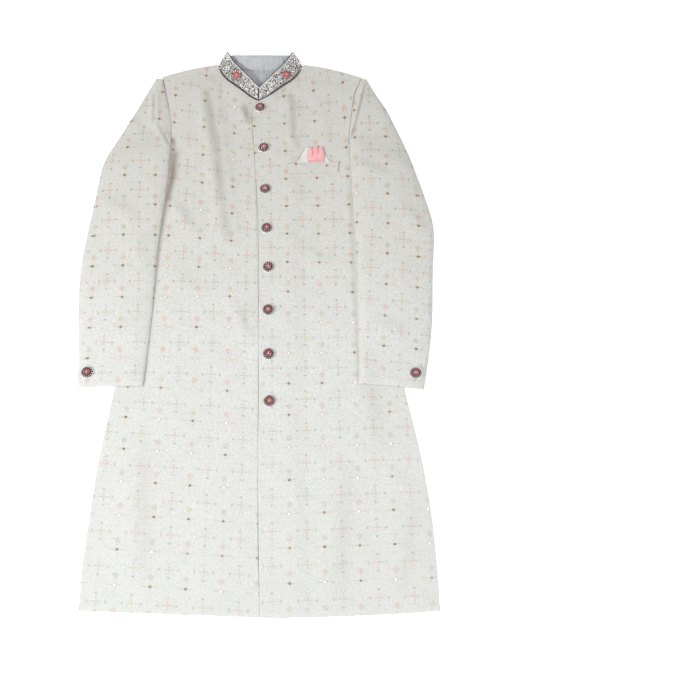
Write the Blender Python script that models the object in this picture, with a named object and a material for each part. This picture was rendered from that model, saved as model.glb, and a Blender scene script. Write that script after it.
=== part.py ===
"""A sherwani coat laid flat on its back: brocade fronts that lap over, two-piece sleeves folded down
over the body, an embroidered stand collar, a breast welt with its square, and ten jewelled buttons.

Lengths in the tables are millimetres. X runs to the wearer's left, Y up the coat from the hem, and Z
up from the surface that the coat lies on. "Right" and "left" in the names are the wearer's.
"""

import math

import bmesh
import bpy
import numpy as np
from mathutils import Vector
from mathutils.bvhtree import BVHTree

MM = 0.001

# Cloth walls and the gap between pieces
GAP = 0.3
LAY_GAP = 0.45
BODY_CLOTH = 2.5
SLEEVE_CLOTH = 2.0
LINING_CLOTH = 1.0
COLLAR_CLOTH = 2.4
EDGE_CORD = 0.7

# The fronts' underside stands this high on the back panel at the side seams
SEAM_HEIGHT = BODY_CLOTH + GAP
SHOULDER_FALL = 55.0

# How far round a place the cloth under it is felt for, by rays cast down on it
REACH = 14.0
LAP_REACH = 21.0
PATCH_REACH = 7.0
PETAL_REACH = 1.5
RAY_START = 200.0
RAY_DIRECTIONS = 8

# Centre line of the neck, and the shoulder seam that runs out and down from it
NECK_X = -31.0
NECK_POINT_OUT = 90.5
NECK_POINT_UP = 1103.5
SHOULDER_SLOPE = 0.285

# The laid body: its middle, its half width and how full it lies, by height above the hem
BODY_COLUMNS = ("up", "middle", "half_width", "crown")
BODY = [
    (0, 0, 308, 1.0),
    (150, -3, 303, 1.8),
    (405, -12, 266, 2.3),
    (640, -18, 250, 2.2),
    (870, -25, 267, 2.4),
    (1000, -27, 267, 2.5),
    (1110, -30, 267, 2.5),
]

# Each front from hem to shoulder: its side seam and armhole, then its centre edge and neckline
FRONT_COLUMNS = ("station", "side_x", "side_y", "centre_x", "centre_y", "bow")
RIGHT_FRONT = [
    (0, -308.1, 13.1, 50.0, 0.0, 0),
    (60, -308.9, 62.8, 49.5, 56, 0),
    (145, -305.5, 144.4, 47.5, 141, 0),
    (230, -299.5, 228.7, 45.5, 226, 0),
    (316, -290.4, 315.7, 43.0, 313, 0),
    (405, -278.0, 405.7, 40.0, 404, 0),
    (520, -269.0, 520, 36.5, 520, 0),
    (640, -267.0, 640, 32.0, 640, 0),
    (760, -275.0, 760, 28.0, 760, 0),
    (872, -292.0, 868, 24.5, 874, 0),
    (884, -266.0, 882, 24.0, 887, 0),
    (897, -232.0, 898, 23.5, 900, 0),
    (914, -203.5, 914, 23.0, 914, 0),
    (936, -204.0, 936.4, 22.3, 935, 0),
    (975, -209.3, 975.6, 21.0, 972, 0),
    (1003, -215.0, 1006, 20.0, 1000, 0),
    (1011, -217.0, 1014, 17.0, 1008, 0),
    (1019, -218.8, 1022, -32.0, 1012.4, 0),
    (1028, -221.0, 1031, -48.5, 1022, 0),
    (1037, -223.2, 1040, -65.5, 1037, 0),
    (1046, -225.5, 1048, -82.5, 1050.6, 0),
    (1055, -227.8, 1057, -100.5, 1064.2, 0.5),
    (1064, -229.8, 1064.5, -113.4, 1082, 1.8),
    (1072, -231.5, 1072, -121.0, 1101.5, 3.5),
]
LEFT_FRONT = [
    (0, 308.1, 13.1, 1.7, 1.6, -3),
    (60, 306.0, 62.8, -1.4, 60, 0),
    (145, 300.8, 144.4, -5.0, 142, 0),
    (230, 290.5, 228.7, -8.5, 228, 0),
    (316, 274.8, 315.7, -10.8, 314, 0),
    (405, 254.0, 405.7, -13.3, 404, 0),
    (520, 238.0, 520, -16.2, 520, 0),
    (640, 230.0, 640, -22.0, 640, 0),
    (760, 232.0, 760, -27.4, 760, 0),
    (872, 243.0, 868, -34.6, 874, 0),
    (884, 217.0, 882, -36.0, 887, 0),
    (897, 182.0, 898, -37.2, 900, 0),
    (914, 152.5, 914, -38.8, 914, 0),
    (936, 152.0, 934, -41.2, 935, 0),
    (975, 156.5, 975, -43.4, 972, 0),
    (1003, 159.3, 1004, -40.5, 999, 0),
    (1011, 160.3, 1012, -34.5, 1011.5, 0),
    (1019, 161.6, 1020, -13.5, 1022, 0),
    (1028, 163.5, 1030, 3.5, 1037, 0),
    (1037, 166.0, 1040, 20.5, 1050.6, 0),
    (1046, 169.0, 1048.5, 38.5, 1064.2, 0),
    (1055, 172.5, 1056.5, 46.6, 1074, 0.5),
    (1064, 175.8, 1063.5, 52.2, 1084.5, 1.8),
    (1072, 179.2, 1070.0, 59.0, 1101.5, 3.5),
]
SKIRT_TOP = 872
SKIRT_ROWS = 23
CHEST_STATIONS = [884, 897, 914, 936, 960, 984, 1003, 1011, 1019, 1028, 1037, 1046, 1055, 1064, 1072]
FRONT_SPANS = 18

# Soft folds on the fronts: a ridge along each line
FOLD_COLUMNS = ("from_x", "from_y", "to_x", "to_y", "half_width", "height")
BODY_FOLDS = [
    (-140, 1035, -133, 925, 20, 1.2),
    (-117, 895, -112, 785, 22, 1.2),
    (-86, 815, -83, 735, 20, 1.2),
    (-64, 575, -22, 498, 20, 1.2),
    (92, 985, 96, 905, 22, 1.0),
    (178, 700, 190, 560, 30, 1.0),
    (-185, 40, -168, 430, 42, 1.2),
    (-70, 25, -66, 300, 34, 1.0),
    (120, 30, 112, 420, 40, 1.2),
    (235, 40, 215, 330, 34, 1.0),
]

# Each sleeve from cuff to shoulder: its fold over the body, its outer fold and how deep it lies
SLEEVE_COLUMNS = ("station", "inner_x", "inner_y", "outer_x", "outer_y", "depth")
RIGHT_SLEEVE = [
    (409, -225.5, 409.9, -347.6, 408.3, 6.7),
    (445, -222.8, 446, -350.3, 445, 6.8),
    (500, -220.3, 501, -354.2, 498, 6.8),
    (590, -216.8, 591, -362.6, 595, 7.1),
    (640, -216.6, 641, -363.7, 644, 7.1),
    (690, -215.6, 690, -360.5, 694.6, 7.2),
    (745, -212.2, 744, -353.8, 745.8, 7.3),
    (805, -207.5, 803, -347.8, 798, 7.4),
    (860, -204.8, 856, -342.6, 851, 7.5),
    (890, -204.3, 888, -337.5, 880, 7.7),
    (914, -204.1, 914, -325.5, 905.1, 7.8),
    (936, 0, 0, -314.0, 927, 7.8),
    (960, 0, 0, -300.5, 954, 7.8),
    (984, 0, 0, -287.5, 981, 7.8),
    (1003, 0, 0, -277.5, 1001, 7.8),
    (1028, 0, 0, -265.7, 1028.2, 7.8),
    (1046, 0, 0, -256.8, 1046.5, 7.6),
    (1064, 0, 0, -245.4, 1065.6, 6.8),
]
LEFT_SLEEVE = [
    (409, 169.5, 414, 290.8, 404.7, 6.7),
    (445, 170.4, 446, 297.5, 445, 6.8),
    (500, 170.2, 500, 305.8, 500, 6.8),
    (560, 169.0, 560, 311.3, 560, 7.0),
    (620, 168.2, 620, 312.6, 621.5, 7.1),
    (670, 166.4, 670, 315.4, 671, 7.2),
    (720, 163.6, 720, 319.8, 720, 7.2),
    (785, 159.6, 785, 307.5, 782, 7.4),
    (840, 156.2, 841, 291.5, 834, 7.5),
    (890, 153.6, 890, 277.0, 880, 7.7),
    (914, 153.1, 914, 267.8, 905, 7.8),
    (936, 0, 0, 258.0, 930, 7.8),
    (960, 0, 0, 247.5, 954, 7.8),
    (984, 0, 0, 236.0, 981, 7.8),
    (1003, 0, 0, 227.5, 1001, 7.8),
    (1028, 0, 0, 209.8, 1028.2, 7.8),
    (1046, 0, 0, 199.9, 1046.5, 7.6),
    (1064, 0, 0, 189.0, 1064.8, 6.8),
]
ARMPIT = 914
SLEEVE_STATIONS = [409, 440, 478, 520, 562, 604, 646, 688, 730, 772, 814, 848, 872, 890, 914]
CAP_STATIONS = [936, 960, 984, 1003, 1028, 1046, 1064]
CAP_SEAM = 0.5
SLEEVE_SPANS = 12
UNDER_SPANS = 8
UNDER_INSET = 7.5
UNDER_CAP_INSET = 2.0
UNDER_TOP = 1028
SLEEVE_SQUARENESS = 5
SLEEVE_FOLDS = [
    (-243, 1030, -242, 990, 14, 1.3),
    (-236, 968, -209, 912, 13, 1.4),
    (187, 1046, 177, 960, 13, 1.3),
    (175, 950, 158, 928, 12, 1.4),
    (-300, 760, -265, 700, 22, 1.3),
    (262, 740, 225, 690, 22, 1.3),
    (-290, 610, -250, 585, 22, 1.0),
    (250, 600, 210, 575, 22, 1.0),
]

# Half of the stand collar, from the centre front to the centre back, out from the neck's middle:
# its neck seam and its top edge
COLLAR_COLUMNS = ("seam_out", "seam_up", "seam_z", "top_out", "top_up", "top_z")
COLLAR_FRONT = [
    (0.5, 1014.8, 9.6, 0.5, 1040.5, 15.0),
    (16.8, 1024.4, 9.4, 13.0, 1055.0, 16.4),
    (33.4, 1039.3, 9.2, 28.0, 1072.0, 17.6),
    (50.2, 1052.9, 9.0, 42.0, 1086.5, 18.6),
    (67.7, 1066.4, 8.6, 54.0, 1101.0, 19.4),
    (78.4, 1083.4, 8.2, 62.0, 1114.0, 19.8),
    (82.6, 1095.0, 7.8, 65.0, 1119.8, 19.8),
]
COLLAR_BACK = [
    (82.6, 1095.6, 2.2, 65.0, 1119.2, 11.8),
    (68.0, 1092.6, 2.0, 51.0, 1117.0, 15.5),
    (45.0, 1090.3, 2.0, 34.0, 1114.0, 19.0),
    (22.0, 1089.3, 2.0, 17.0, 1112.5, 21.0),
    (0.0, 1089.0, 2.0, 0.0, 1112.0, 21.6),
]
COLLAR_FOLD_OUT = (0.78, 0.62)
COLLAR_FOLD_STEPS = 5
COLLAR_STEP = 9.0
COLLAR_BACK_SECTIONS = 5
COLLAR_ACROSS = (0.0, 0.09, 0.3, 0.5, 0.7, 0.91, 1.0)
COLLAR_BULGE = 1.2
FLOWER_SPOTS = [("right", -79.0, 1069.5), ("left", 23.5, 1072.0)]
FLOWER_RADIUS = 8.0
FLOWER_RISE = 2.4
FLOWER_LEVELS = (1.0, 0.8, 1.0, 0.45)
FLOWER_CROWN = 0.9
FLOWER_EYE = 0.15
PETALS = 5
PETAL_POINTS = 4
PETAL_WAVE = 0.18

# Back panel: its armhole margin past the fronts, its shoulder and its neckline
BACK_STATIONS = [0, 60, 145, 230, 316, 405, 520, 640, 760, 872, 884, 897, 914, 936, 975, 1011]
BACK_MARGIN = 8.0
BACK_INSET = 0.6
BACK_HEM_UP = 3.0
SHOULDER_TIP_OUT = 12.0
SHOULDER_TIP_UP = 1052.0
SHOULDER_INSET = 0.5
SHOULDER_BOW = 2.5
NECK_POINT_DROP = 1.5
BACK_NECK = [(87.5, 1096), (80, 1090), (66, 1088), (45, 1086.6), (22, 1086), (0, 1085.8)]
BACK_LINING = [(70, 985), (70, 1040), (66, 1078), (58, 1084.5), (30, 1083.8), (0, 1083.4)]
TAB_SIZE = (13.0, 10.0, 0.8)
TAB_PLACE = (-24.5, 1076.0)

# Breast welt and the square sewn into it, on the left front
WELT_CORNERS = {"low": ((31.8, 846.0), (130.5, 849.0)), "high": ((31.5, 868.5), (132.0, 873.0))}
WELT_CLOTH = 2.0
WELT_ROWS = 4
WELT_COLUMNS = 9
NET_EDGE = [(49, 3), (57, 20), (68, 38), (80, 33), (95, 31), (106, 16), (115, 3)]
NET_CLOTH = 0.9
SQUARE_EDGE = [(70, 25), (74.5, 35), (80, 29), (86, 38), (92, 31), (97.5, 35), (103, 22)]
SQUARE_CLOTH = 1.2
SQUARE_ROWS = 5
SQUARE_COLUMNS = 13
SQUARE_PLEATS = 3
SQUARE_PLEAT_HEIGHT = (1.6, 0.96)

# Buttons
BUTTON_PROFILE = [(9.5, 0.0), (11.2, 0.5), (12.0, 1.6), (11.4, 2.6), (8.6, 3.1), (6.6, 4.0), (3.6, 5.0)]
BUTTON_TOP = 5.4
BUTTON_RADIUS = 12.0
BUTTON_SEGMENTS = 16
BUTTON_EDGE_ANGLE = math.radians(40)
FRONT_BUTTONS = [
    (-27.7, 996.8),
    (-17.8, 904.3),
    (-12.4, 812.2),
    (-7.1, 727.6),
    (-1.7, 645.6),
    (0.8, 557.8),
    (3.9, 470.8),
    (7.9, 381.0),
]
CUFF_BUTTONS = {"right": (-329.6, 435.9), "left": (275.5, 433.8)}

# Finishes: base colour, roughness and metallic value
BROCADE = ("ivory_brocade", (0.80, 0.79, 0.74), 0.55, 0.0)
LINING = ("lavender_lining", (0.62, 0.61, 0.67), 0.7, 0.0)
EMBROIDERY = ("silver_embroidery", (0.55, 0.53, 0.50), 0.4, 0.35)
ROSE = ("rose_applique", (0.62, 0.22, 0.22), 0.7, 0.0)
PINK = ("pink_silk", (0.86, 0.55, 0.53), 0.55, 0.0)
NET = ("white_net", (0.78, 0.76, 0.75), 0.75, 0.0)
JEWEL = ("jewelled_metal", (0.42, 0.22, 0.21), 0.3, 0.6)


def clear_scene():
    """Empties the scene."""
    for thing in list(bpy.data.objects):
        bpy.data.objects.remove(thing)


def named(table, names):
    """The table's columns as arrays, by name."""
    return {name: np.array(values, float) for name, values in zip(names, zip(*table))}


def smooth(stations, values, at):
    """A curve through the values, read at some stations, which never overshoots between rows."""
    step = np.diff(stations)
    slope = np.diff(values) / step
    rate = np.zeros(len(values))
    rate[0], rate[-1] = slope[0], slope[-1]
    for i in range(1, len(values) - 1):
        if slope[i - 1] * slope[i] > 0:
            rate[i] = 2 * slope[i - 1] * slope[i] / (slope[i - 1] + slope[i])
    k = np.clip(np.searchsorted(stations, at, side="right") - 1, 0, len(step) - 1)
    t = np.clip((at - stations[k]) / step[k], 0, 1)
    start, end = values[k], values[k + 1]
    bend = (1 - t) * rate[k] * step[k] - t * rate[k + 1] * step[k]
    away = start - end
    return start * (1 - t) + end * t + t * (1 - t) * (bend + away * (1 - 2 * t))


def ease(t):
    """A soft step from 0 to 1."""
    t = np.clip(t, 0.0, 1.0)
    return t * t * (3 - 2 * t)


def fold_rise(folds, x, y):
    """The summed height of the soft ridges at a place."""
    rise = np.zeros_like(x)
    for row in folds:
        fold = dict(zip(FOLD_COLUMNS, row))
        off_x, off_y = x - fold["from_x"], y - fold["from_y"]
        run_x, run_y = fold["to_x"] - fold["from_x"], fold["to_y"] - fold["from_y"]
        along = np.clip((off_x * run_x + off_y * run_y) / (run_x**2 + run_y**2), 0, 1)
        far = np.hypot(off_x - along * run_x, off_y - along * run_y)
        rise += fold["height"] * np.exp(-((far / fold["half_width"]) ** 2))
    return rise


def body_height(x, y):
    """Height of the fronts' underside: low at the side seams, hem and shoulders, full at the chest."""
    body = named(BODY, BODY_COLUMNS)
    middle, half, crown = (smooth(body["up"], body[c], y) for c in BODY_COLUMNS[1:])
    across = np.clip(np.abs(x - middle) / half, 0, 1)
    out = np.maximum(np.abs(x - NECK_X) - NECK_POINT_OUT, 0)
    below = NECK_POINT_UP - SHOULDER_SLOPE * out - y
    full = (1 - across**4) * ease(below / SHOULDER_FALL)
    return SEAM_HEIGHT + full * (crown + fold_rise(BODY_FOLDS, x, y))


def tree_of(points, faces):
    """A search tree that rays can be cast at."""
    return BVHTree.FromPolygons([tuple(p) for p in points], faces)


def top_of(trees, x, y, reach=REACH):
    """The highest surface within reach of a place, or 0 where there is none."""
    down = Vector((0, 0, -1))
    spots = [(0.0, 0.0)]
    for share in (0.5, 1.0):
        for k in range(RAY_DIRECTIONS):
            turn = 2 * math.pi * k / RAY_DIRECTIONS
            spots.append((share * reach * math.cos(turn), share * reach * math.sin(turn)))
    best = 0.0
    for dx, dy in spots:
        for tree in trees:
            hit = tree.ray_cast(Vector((x + dx, y + dy, RAY_START)), down)[0]
            if hit is not None:
                best = max(best, hit.z)
    return best


def material(finish):
    """The Principled material of a finish, made once."""
    name, colour, roughness, metallic = finish
    made = bpy.data.materials.get(name) or bpy.data.materials.new(name)
    made.use_nodes = True
    shader = made.node_tree.nodes["Principled BSDF"]
    shader.inputs["Base Color"].default_value = (*colour, 1)
    shader.inputs["Roughness"].default_value = roughness
    shader.inputs["Metallic"].default_value = metallic
    return made


def place(name, mesh, finish):
    """An object for a closed mesh in millimetres, brought to metres with its faces outward."""
    if mesh.calc_volume(signed=True) < 0:
        bmesh.ops.reverse_faces(mesh, faces=mesh.faces[:])
    bmesh.ops.scale(mesh, vec=(MM, MM, MM), verts=mesh.verts[:])
    data = bpy.data.meshes.new(name)
    mesh.to_mesh(data)
    mesh.free()
    data.materials.append(material(finish))
    thing = bpy.data.objects.new(name, data)
    bpy.context.collection.objects.link(thing)
    return thing


def cloth_wall(name, outer, inner, finish):
    """A closed wall between two grids of points, with a rim all round; returns its search tree."""
    rows, columns = outer.shape[:2]
    count = rows * columns
    points = np.concatenate([outer.reshape(-1, 3), inner.reshape(-1, 3)])
    faces = []
    for i in range(rows - 1):
        for j in range(columns - 1):
            a, b = i * columns + j, (i + 1) * columns + j
            faces.append((a, a + 1, b + 1, b))
            faces.append((count + a, count + b, count + b + 1, count + a + 1))
    edge = [(0, j) for j in range(columns)]
    edge += [(i, columns - 1) for i in range(1, rows)]
    edge += [(rows - 1, j) for j in range(columns - 2, -1, -1)]
    edge += [(i, 0) for i in range(rows - 2, 0, -1)]
    ring = [i * columns + j for i, j in edge]
    for a, b in zip(ring, ring[1:] + ring[:1]):
        faces.append((b, a, count + a, count + b))
    mesh = bmesh.new()
    corners = [mesh.verts.new(p) for p in points]
    for face in faces:
        mesh.faces.new([corners[k] for k in face])
    thing = place(name, mesh, finish)
    thing.data.shade_smooth()
    return tree_of(points, faces)


def slab(name, outline, low, high, finish):
    """A flat piece of cloth: its outline drawn up from low to high."""
    mesh = bmesh.new()
    base = mesh.faces.new([mesh.verts.new((x, y, low)) for x, y in outline])
    grown = bmesh.ops.extrude_face_region(mesh, geom=[base])
    raised = [v for v in grown["geom"] if isinstance(v, bmesh.types.BMVert)]
    bmesh.ops.translate(mesh, verts=raised, vec=(0, 0, high - low))
    bmesh.ops.recalc_face_normals(mesh, faces=mesh.faces[:])
    points = [tuple(v.co) for v in mesh.verts]
    mesh.verts.index_update()
    faces = [[v.index for v in f.verts] for f in mesh.faces]
    place(name, mesh, finish)
    return tree_of(points, faces)


def front_edges(table, stations):
    """A front's side edge and centre edge at some stations, and how far each row bows up."""
    front = named(table, FRONT_COLUMNS)
    read = {c: smooth(front["station"], front[c], stations) for c in FRONT_COLUMNS[1:]}
    side = np.stack([read["side_x"], read["side_y"]], axis=1)
    centre = np.stack([read["centre_x"], read["centre_y"]], axis=1)
    return side, centre, read["bow"]


def front_panel(name, table, under):
    """A front as a wall: it lies on the panels under it and follows the laid body elsewhere."""
    stations = np.concatenate([np.linspace(0, SKIRT_TOP, SKIRT_ROWS), CHEST_STATIONS])
    side, centre, bow = front_edges(table, stations)
    share = np.linspace(0, 1, FRONT_SPANS + 1)
    plan = side[:, None] + share[None, :, None] * (centre - side)[:, None]
    plan[:, :, 1] += bow[:, None] * 4 * (share * (1 - share))[None, :]
    low = body_height(plan[:, :, 0], plan[:, :, 1])
    for (i, j), height in np.ndenumerate(low):
        resting = top_of(under, *plan[i, j], LAP_REACH)
        if resting:
            low[i, j] = max(height, resting + LAY_GAP)
    inner = np.concatenate([plan, low[:, :, None]], axis=2)
    outer = inner + np.array((0, 0, BODY_CLOTH))
    return cloth_wall(name, outer, inner, BROCADE)


def back_outline():
    """The back's outline: hem, side seams, armholes with their margin, shoulders and neckline."""
    half = []
    for table, sign in ((LEFT_FRONT, 1), (RIGHT_FRONT, -1)):
        side, _, _ = front_edges(table, np.array(BACK_STATIONS, float))
        edge = []
        for station, (x, y) in zip(BACK_STATIONS, side):
            out = BACK_MARGIN if station > ARMPIT else -BACK_INSET
            up = BACK_HEM_UP if station == 0 else 0
            edge.append((x + sign * out, y + up))
        edge.append((side[-1][0] + sign * SHOULDER_TIP_OUT, SHOULDER_TIP_UP))
        _, seam_x, seam_y, _, _, _ = table[-1]
        edge.append((seam_x, seam_y - SHOULDER_INSET))
        neck = NECK_POINT_OUT * sign + NECK_X
        edge.append(((seam_x + neck) / 2, (seam_y + NECK_POINT_UP) / 2 + SHOULDER_BOW))
        edge.append((neck, NECK_POINT_UP - NECK_POINT_DROP))
        edge += [(NECK_X + sign * out, up) for out, up in BACK_NECK]
        half.append(edge)
    left, right = half
    return [(2.0, BACK_HEM_UP)] + left + right[-2::-1]


def lining_outline():
    """The lining's outline inside the neck, alike on both sides of the neck's middle."""
    right = [(NECK_X + out, up) for out, up in BACK_LINING]
    left = [(NECK_X - out, up) for out, up in BACK_LINING]
    return right + left[-2::-1]


def taut(share, height):
    """Cloth pulled straight over the obstacles of one section: their upper hull."""
    hull = []
    for point in zip(share, height):
        while len(hull) > 1:
            (ax, az), (bx, bz) = hull[-2:]
            if (bx - ax) * (point[1] - az) - (bz - az) * (point[0] - ax) < 0:
                break
            hull.pop()
        hull.append(point)
    return np.interp(share, *zip(*hull))


def sleeve_plan(table, front_table, stations):
    """Both folds of a sleeve; above the armpit its inner edge follows the front's armhole."""
    sleeve = named(table, SLEEVE_COLUMNS)
    free = sleeve["station"] <= ARMPIT
    inner = np.zeros((len(stations), 2))
    for k, axis in enumerate(("inner_x", "inner_y")):
        inner[:, k] = smooth(sleeve["station"][free], sleeve[axis][free], stations)
    armhole, _, _ = front_edges(front_table, stations)
    cap = stations > ARMPIT
    sign = np.sign(sleeve["outer_x"][0])
    inner[cap] = armhole[cap] + np.array((sign * CAP_SEAM, 0))
    outer = [smooth(sleeve["station"], sleeve[c], stations) for c in ("outer_x", "outer_y")]
    depth = smooth(sleeve["station"], sleeve["depth"], stations)
    return inner, np.stack(outer, axis=1), depth, cap


def arch(across, edge):
    """A sleeve's rounded section: 1 along the top and 0 at its folds, or edge at the joined one."""
    joined = np.where(across < 0, edge, 0.0)
    return np.sqrt(1 - (1 - joined**2) * np.abs(across) ** SLEEVE_SQUARENESS)


def sleeve(side, table, front_table, fronts, back):
    """The top sleeve, an arch from fold to fold, and the under sleeve inside it."""
    stations = np.array(SLEEVE_STATIONS + CAP_STATIONS, float)
    inner, outer, depth, cap = sleeve_plan(table, front_table, stations)
    across = np.sin(np.linspace(-1, 1, SLEEVE_SPANS + 1) * math.pi / 2)
    share = (across + 1) / 2
    width = np.linalg.norm(outer - inner, axis=1)
    rows, columns = len(stations), len(across)
    upper = np.zeros((rows, columns, 3))
    lower = np.zeros((rows, columns, 3))
    base = np.zeros((rows, columns))
    for i in range(rows):
        plan = inner[i] + share[:, None] * (outer[i] - inner[i])
        under = [back] if cap[i] else [back, *fronts]
        resting = np.array([top_of(under, *p) for p in plan])
        base[i] = taut(share, np.where(resting > 0, resting + LAY_GAP, 0))
        shrink = np.full(columns, SLEEVE_CLOTH / width[i])
        top_edge, bottom_edge = 0.0, 0.0
        room = depth[i] - SLEEVE_CLOTH
        if cap[i]:
            shrink[across < 0] = 0.0
            seam = body_height(inner[i, :1], inner[i, 1:])[0] + BODY_CLOTH
            top_edge = np.clip((seam - base[i, 0]) / depth[i], 0, 1)
            bottom_edge = np.clip((seam - SLEEVE_CLOTH - base[i, 0]) / room, 0, 1)
        pulled = share - shrink * across
        rise = fold_rise(SLEEVE_FOLDS, plan[:, 0], plan[:, 1]) * (1 - np.abs(across) ** 4)
        upper[i, :, :2] = plan
        upper[i, :, 2] = base[i] + depth[i] * arch(across, top_edge) + rise
        lower[i, :, :2] = inner[i] + pulled[:, None] * (outer[i] - inner[i])
        lower[i, :, 2] = base[i] + room * arch(across, bottom_edge) + rise
    tree = cloth_wall(side + "_top_sleeve", upper, lower, BROCADE)

    kept = stations <= UNDER_TOP
    even = np.linspace(0, 1, UNDER_SPANS + 1)
    bottom = np.zeros((int(kept.sum()), len(even), 3))
    for i in range(len(bottom)):
        first = (UNDER_CAP_INSET if cap[i] else UNDER_INSET) / width[i]
        at = first + even * (1 - UNDER_INSET / width[i] - first)
        bottom[i, :, :2] = inner[i] + at[:, None] * (outer[i] - inner[i])
        bottom[i, :, 2] = np.interp(at, share, base[i])
    top = bottom + np.array((0, 0, SLEEVE_CLOTH))
    cloth_wall(side + "_under_sleeve", top, bottom, BROCADE)
    return tree


def folded_section(upper, lower, turn):
    """A section of the collar's side fold, at a turn from its upper layer down to its lower one."""
    section = []
    for seam_or_top in (slice(0, 3), slice(3, 6)):
        a, b = upper[seam_or_top], lower[seam_or_top]
        radius = (a[2] - b[2]) / 2
        place = a + (1 - math.sin(turn)) / 2 * (b - a)
        bulge = radius * math.cos(turn)
        section += [place[0] + COLLAR_FOLD_OUT[0] * bulge, place[1] + COLLAR_FOLD_OUT[1] * bulge]
        section.append((a[2] + b[2]) / 2 + radius * math.sin(turn))
    return section


def collar_half():
    """Sections of half the collar, centre front to centre back, as rows of COLLAR_COLUMNS."""
    front = named(COLLAR_FRONT, COLLAR_COLUMNS)
    back = named(COLLAR_BACK, COLLAR_COLUMNS)
    steps = np.hypot(np.diff(front["seam_out"]), np.diff(front["seam_up"]))
    reach = np.concatenate([[0], np.cumsum(steps)])
    along = np.linspace(0, reach[-1], int(reach[-1] / COLLAR_STEP) + 1)
    laid = np.stack([smooth(reach, front[c], along) for c in COLLAR_COLUMNS], axis=1)
    places = np.arange(len(COLLAR_BACK), dtype=float)
    between = np.linspace(0, places[-1], 2 * len(places) - 1)
    rear = np.stack([smooth(places, back[c], between) for c in COLLAR_COLUMNS], axis=1)
    turns = np.linspace(math.pi / 2, -math.pi / 2, COLLAR_FOLD_STEPS + 2)[1:-1]
    folded = [folded_section(laid[-1], rear[0], turn) for turn in turns]
    return np.concatenate([laid, folded, rear])


def collar_surface():
    """Points on the collar's middle surface and their normals, from the right end round to the left."""
    half = collar_half()
    out = np.array((1, 0, 0, 1, 0, 0))
    ring = NECK_X * out + np.concatenate([half * (1 - 2 * out), half[-2::-1]])
    across = np.array(COLLAR_ACROSS)
    points = ring[:, None, :3] + across[None, :, None] * (ring[:, 3:] - ring[:, :3])[:, None]
    along = np.gradient(points, axis=0)
    up = np.gradient(points, axis=1)
    normal = np.cross(up, along)
    normal /= np.linalg.norm(normal, axis=2, keepdims=True)
    if normal[3, 3, 2] < 0:
        normal = -normal
    points = points + normal * (COLLAR_BULGE * 4 * across * (1 - across))[None, :, None]
    return points, normal


def collar():
    """The stand collar with a raised cord along both edges, and the lining on its back half."""
    points, normal = collar_surface()
    half = COLLAR_CLOTH / 2
    raised = np.zeros(len(COLLAR_ACROSS))
    raised[[0, -1]] = EDGE_CORD
    outer = points + normal * (half + raised)[None, :, None]
    inner = points - normal * half
    outer[:, :, 2] = np.maximum(outer[:, :, 2], GAP)
    tree = cloth_wall("collar", outer, inner, EMBROIDERY)
    middle = len(points) // 2
    span = slice(middle - COLLAR_BACK_SECTIONS, middle + COLLAR_BACK_SECTIONS + 1)
    facing = slice(1, -1)
    near = points[span, facing] - normal[span, facing] * (half + GAP)
    far = near - normal[span, facing] * LINING_CLOTH
    cloth_wall("collar_lining", far, near, LINING)
    return tree


def flower(side, x, y, collar_tree):
    """A raised five-petal flower, laid on the collar's outer face."""
    around = PETALS * PETAL_POINTS
    mesh = bmesh.new()
    levels = []
    for i, level in enumerate(FLOWER_LEVELS):
        seat = []
        for j in range(around):
            turn = 2 * math.pi * j / around
            petal = 1 - PETAL_WAVE + PETAL_WAVE * math.cos(PETALS * turn)
            radius = FLOWER_RADIUS * petal * (i + FLOWER_EYE) / (len(FLOWER_LEVELS) - 1 + FLOWER_EYE)
            px, py = x + radius * math.cos(turn), y + radius * math.sin(turn)
            seat.append((px, py, top_of([collar_tree], px, py, PETAL_REACH) + GAP))
        levels.append([mesh.verts.new((px, py, pz + level * FLOWER_RISE)) for px, py, pz in seat])
        if i == 0:
            eye = max(pz for _, _, pz in seat)
    foot = [mesh.verts.new(point) for point in seat]
    levels.append(foot)
    crown = mesh.verts.new((x, y, eye + FLOWER_CROWN * FLOWER_RISE))
    sole = mesh.verts.new((x, y, eye))
    for j in range(around):
        k = (j + 1) % around
        for a, b in zip(levels, levels[1:]):
            mesh.faces.new((a[j], b[j], b[k], a[k]))
        mesh.faces.new((crown, levels[0][j], levels[0][k]))
        mesh.faces.new((sole, foot[k], foot[j]))
    place("collar_flower_" + side, mesh, ROSE)


def laid_patch(name, plan, under, cloth, finish, ridge=0.0):
    """A small piece that lies on a panel, lifted by its own ridges."""
    low = np.array([[top_of(under, x, y, PATCH_REACH) + LAY_GAP for x, y in row] for row in plan])
    low = low + ridge
    inner = np.concatenate([plan, low[:, :, None]], axis=2)
    return cloth_wall(name, inner + np.array((0, 0, cloth)), inner, finish)


def welt(front_tree):
    """The breast welt, a strip between its low and its high edge."""
    low, high = (np.array(WELT_CORNERS[edge]) for edge in ("low", "high"))
    level = np.linspace(0, 1, WELT_ROWS)[:, None, None]
    inner_end, outer_end = (low[k] + level * (high[k] - low[k]) for k in (0, 1))
    plan = inner_end + np.linspace(0, 1, WELT_COLUMNS)[:, None] * (outer_end - inner_end)
    laid_patch("pocket_welt", plan, [front_tree], WELT_CLOTH, BROCADE)


def welt_top(x):
    """Height up the coat of the welt's top edge."""
    (ax, ay), (bx, by) = WELT_CORNERS["high"]
    return ay + (by - ay) * (x - ax) / (bx - ax)


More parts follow.
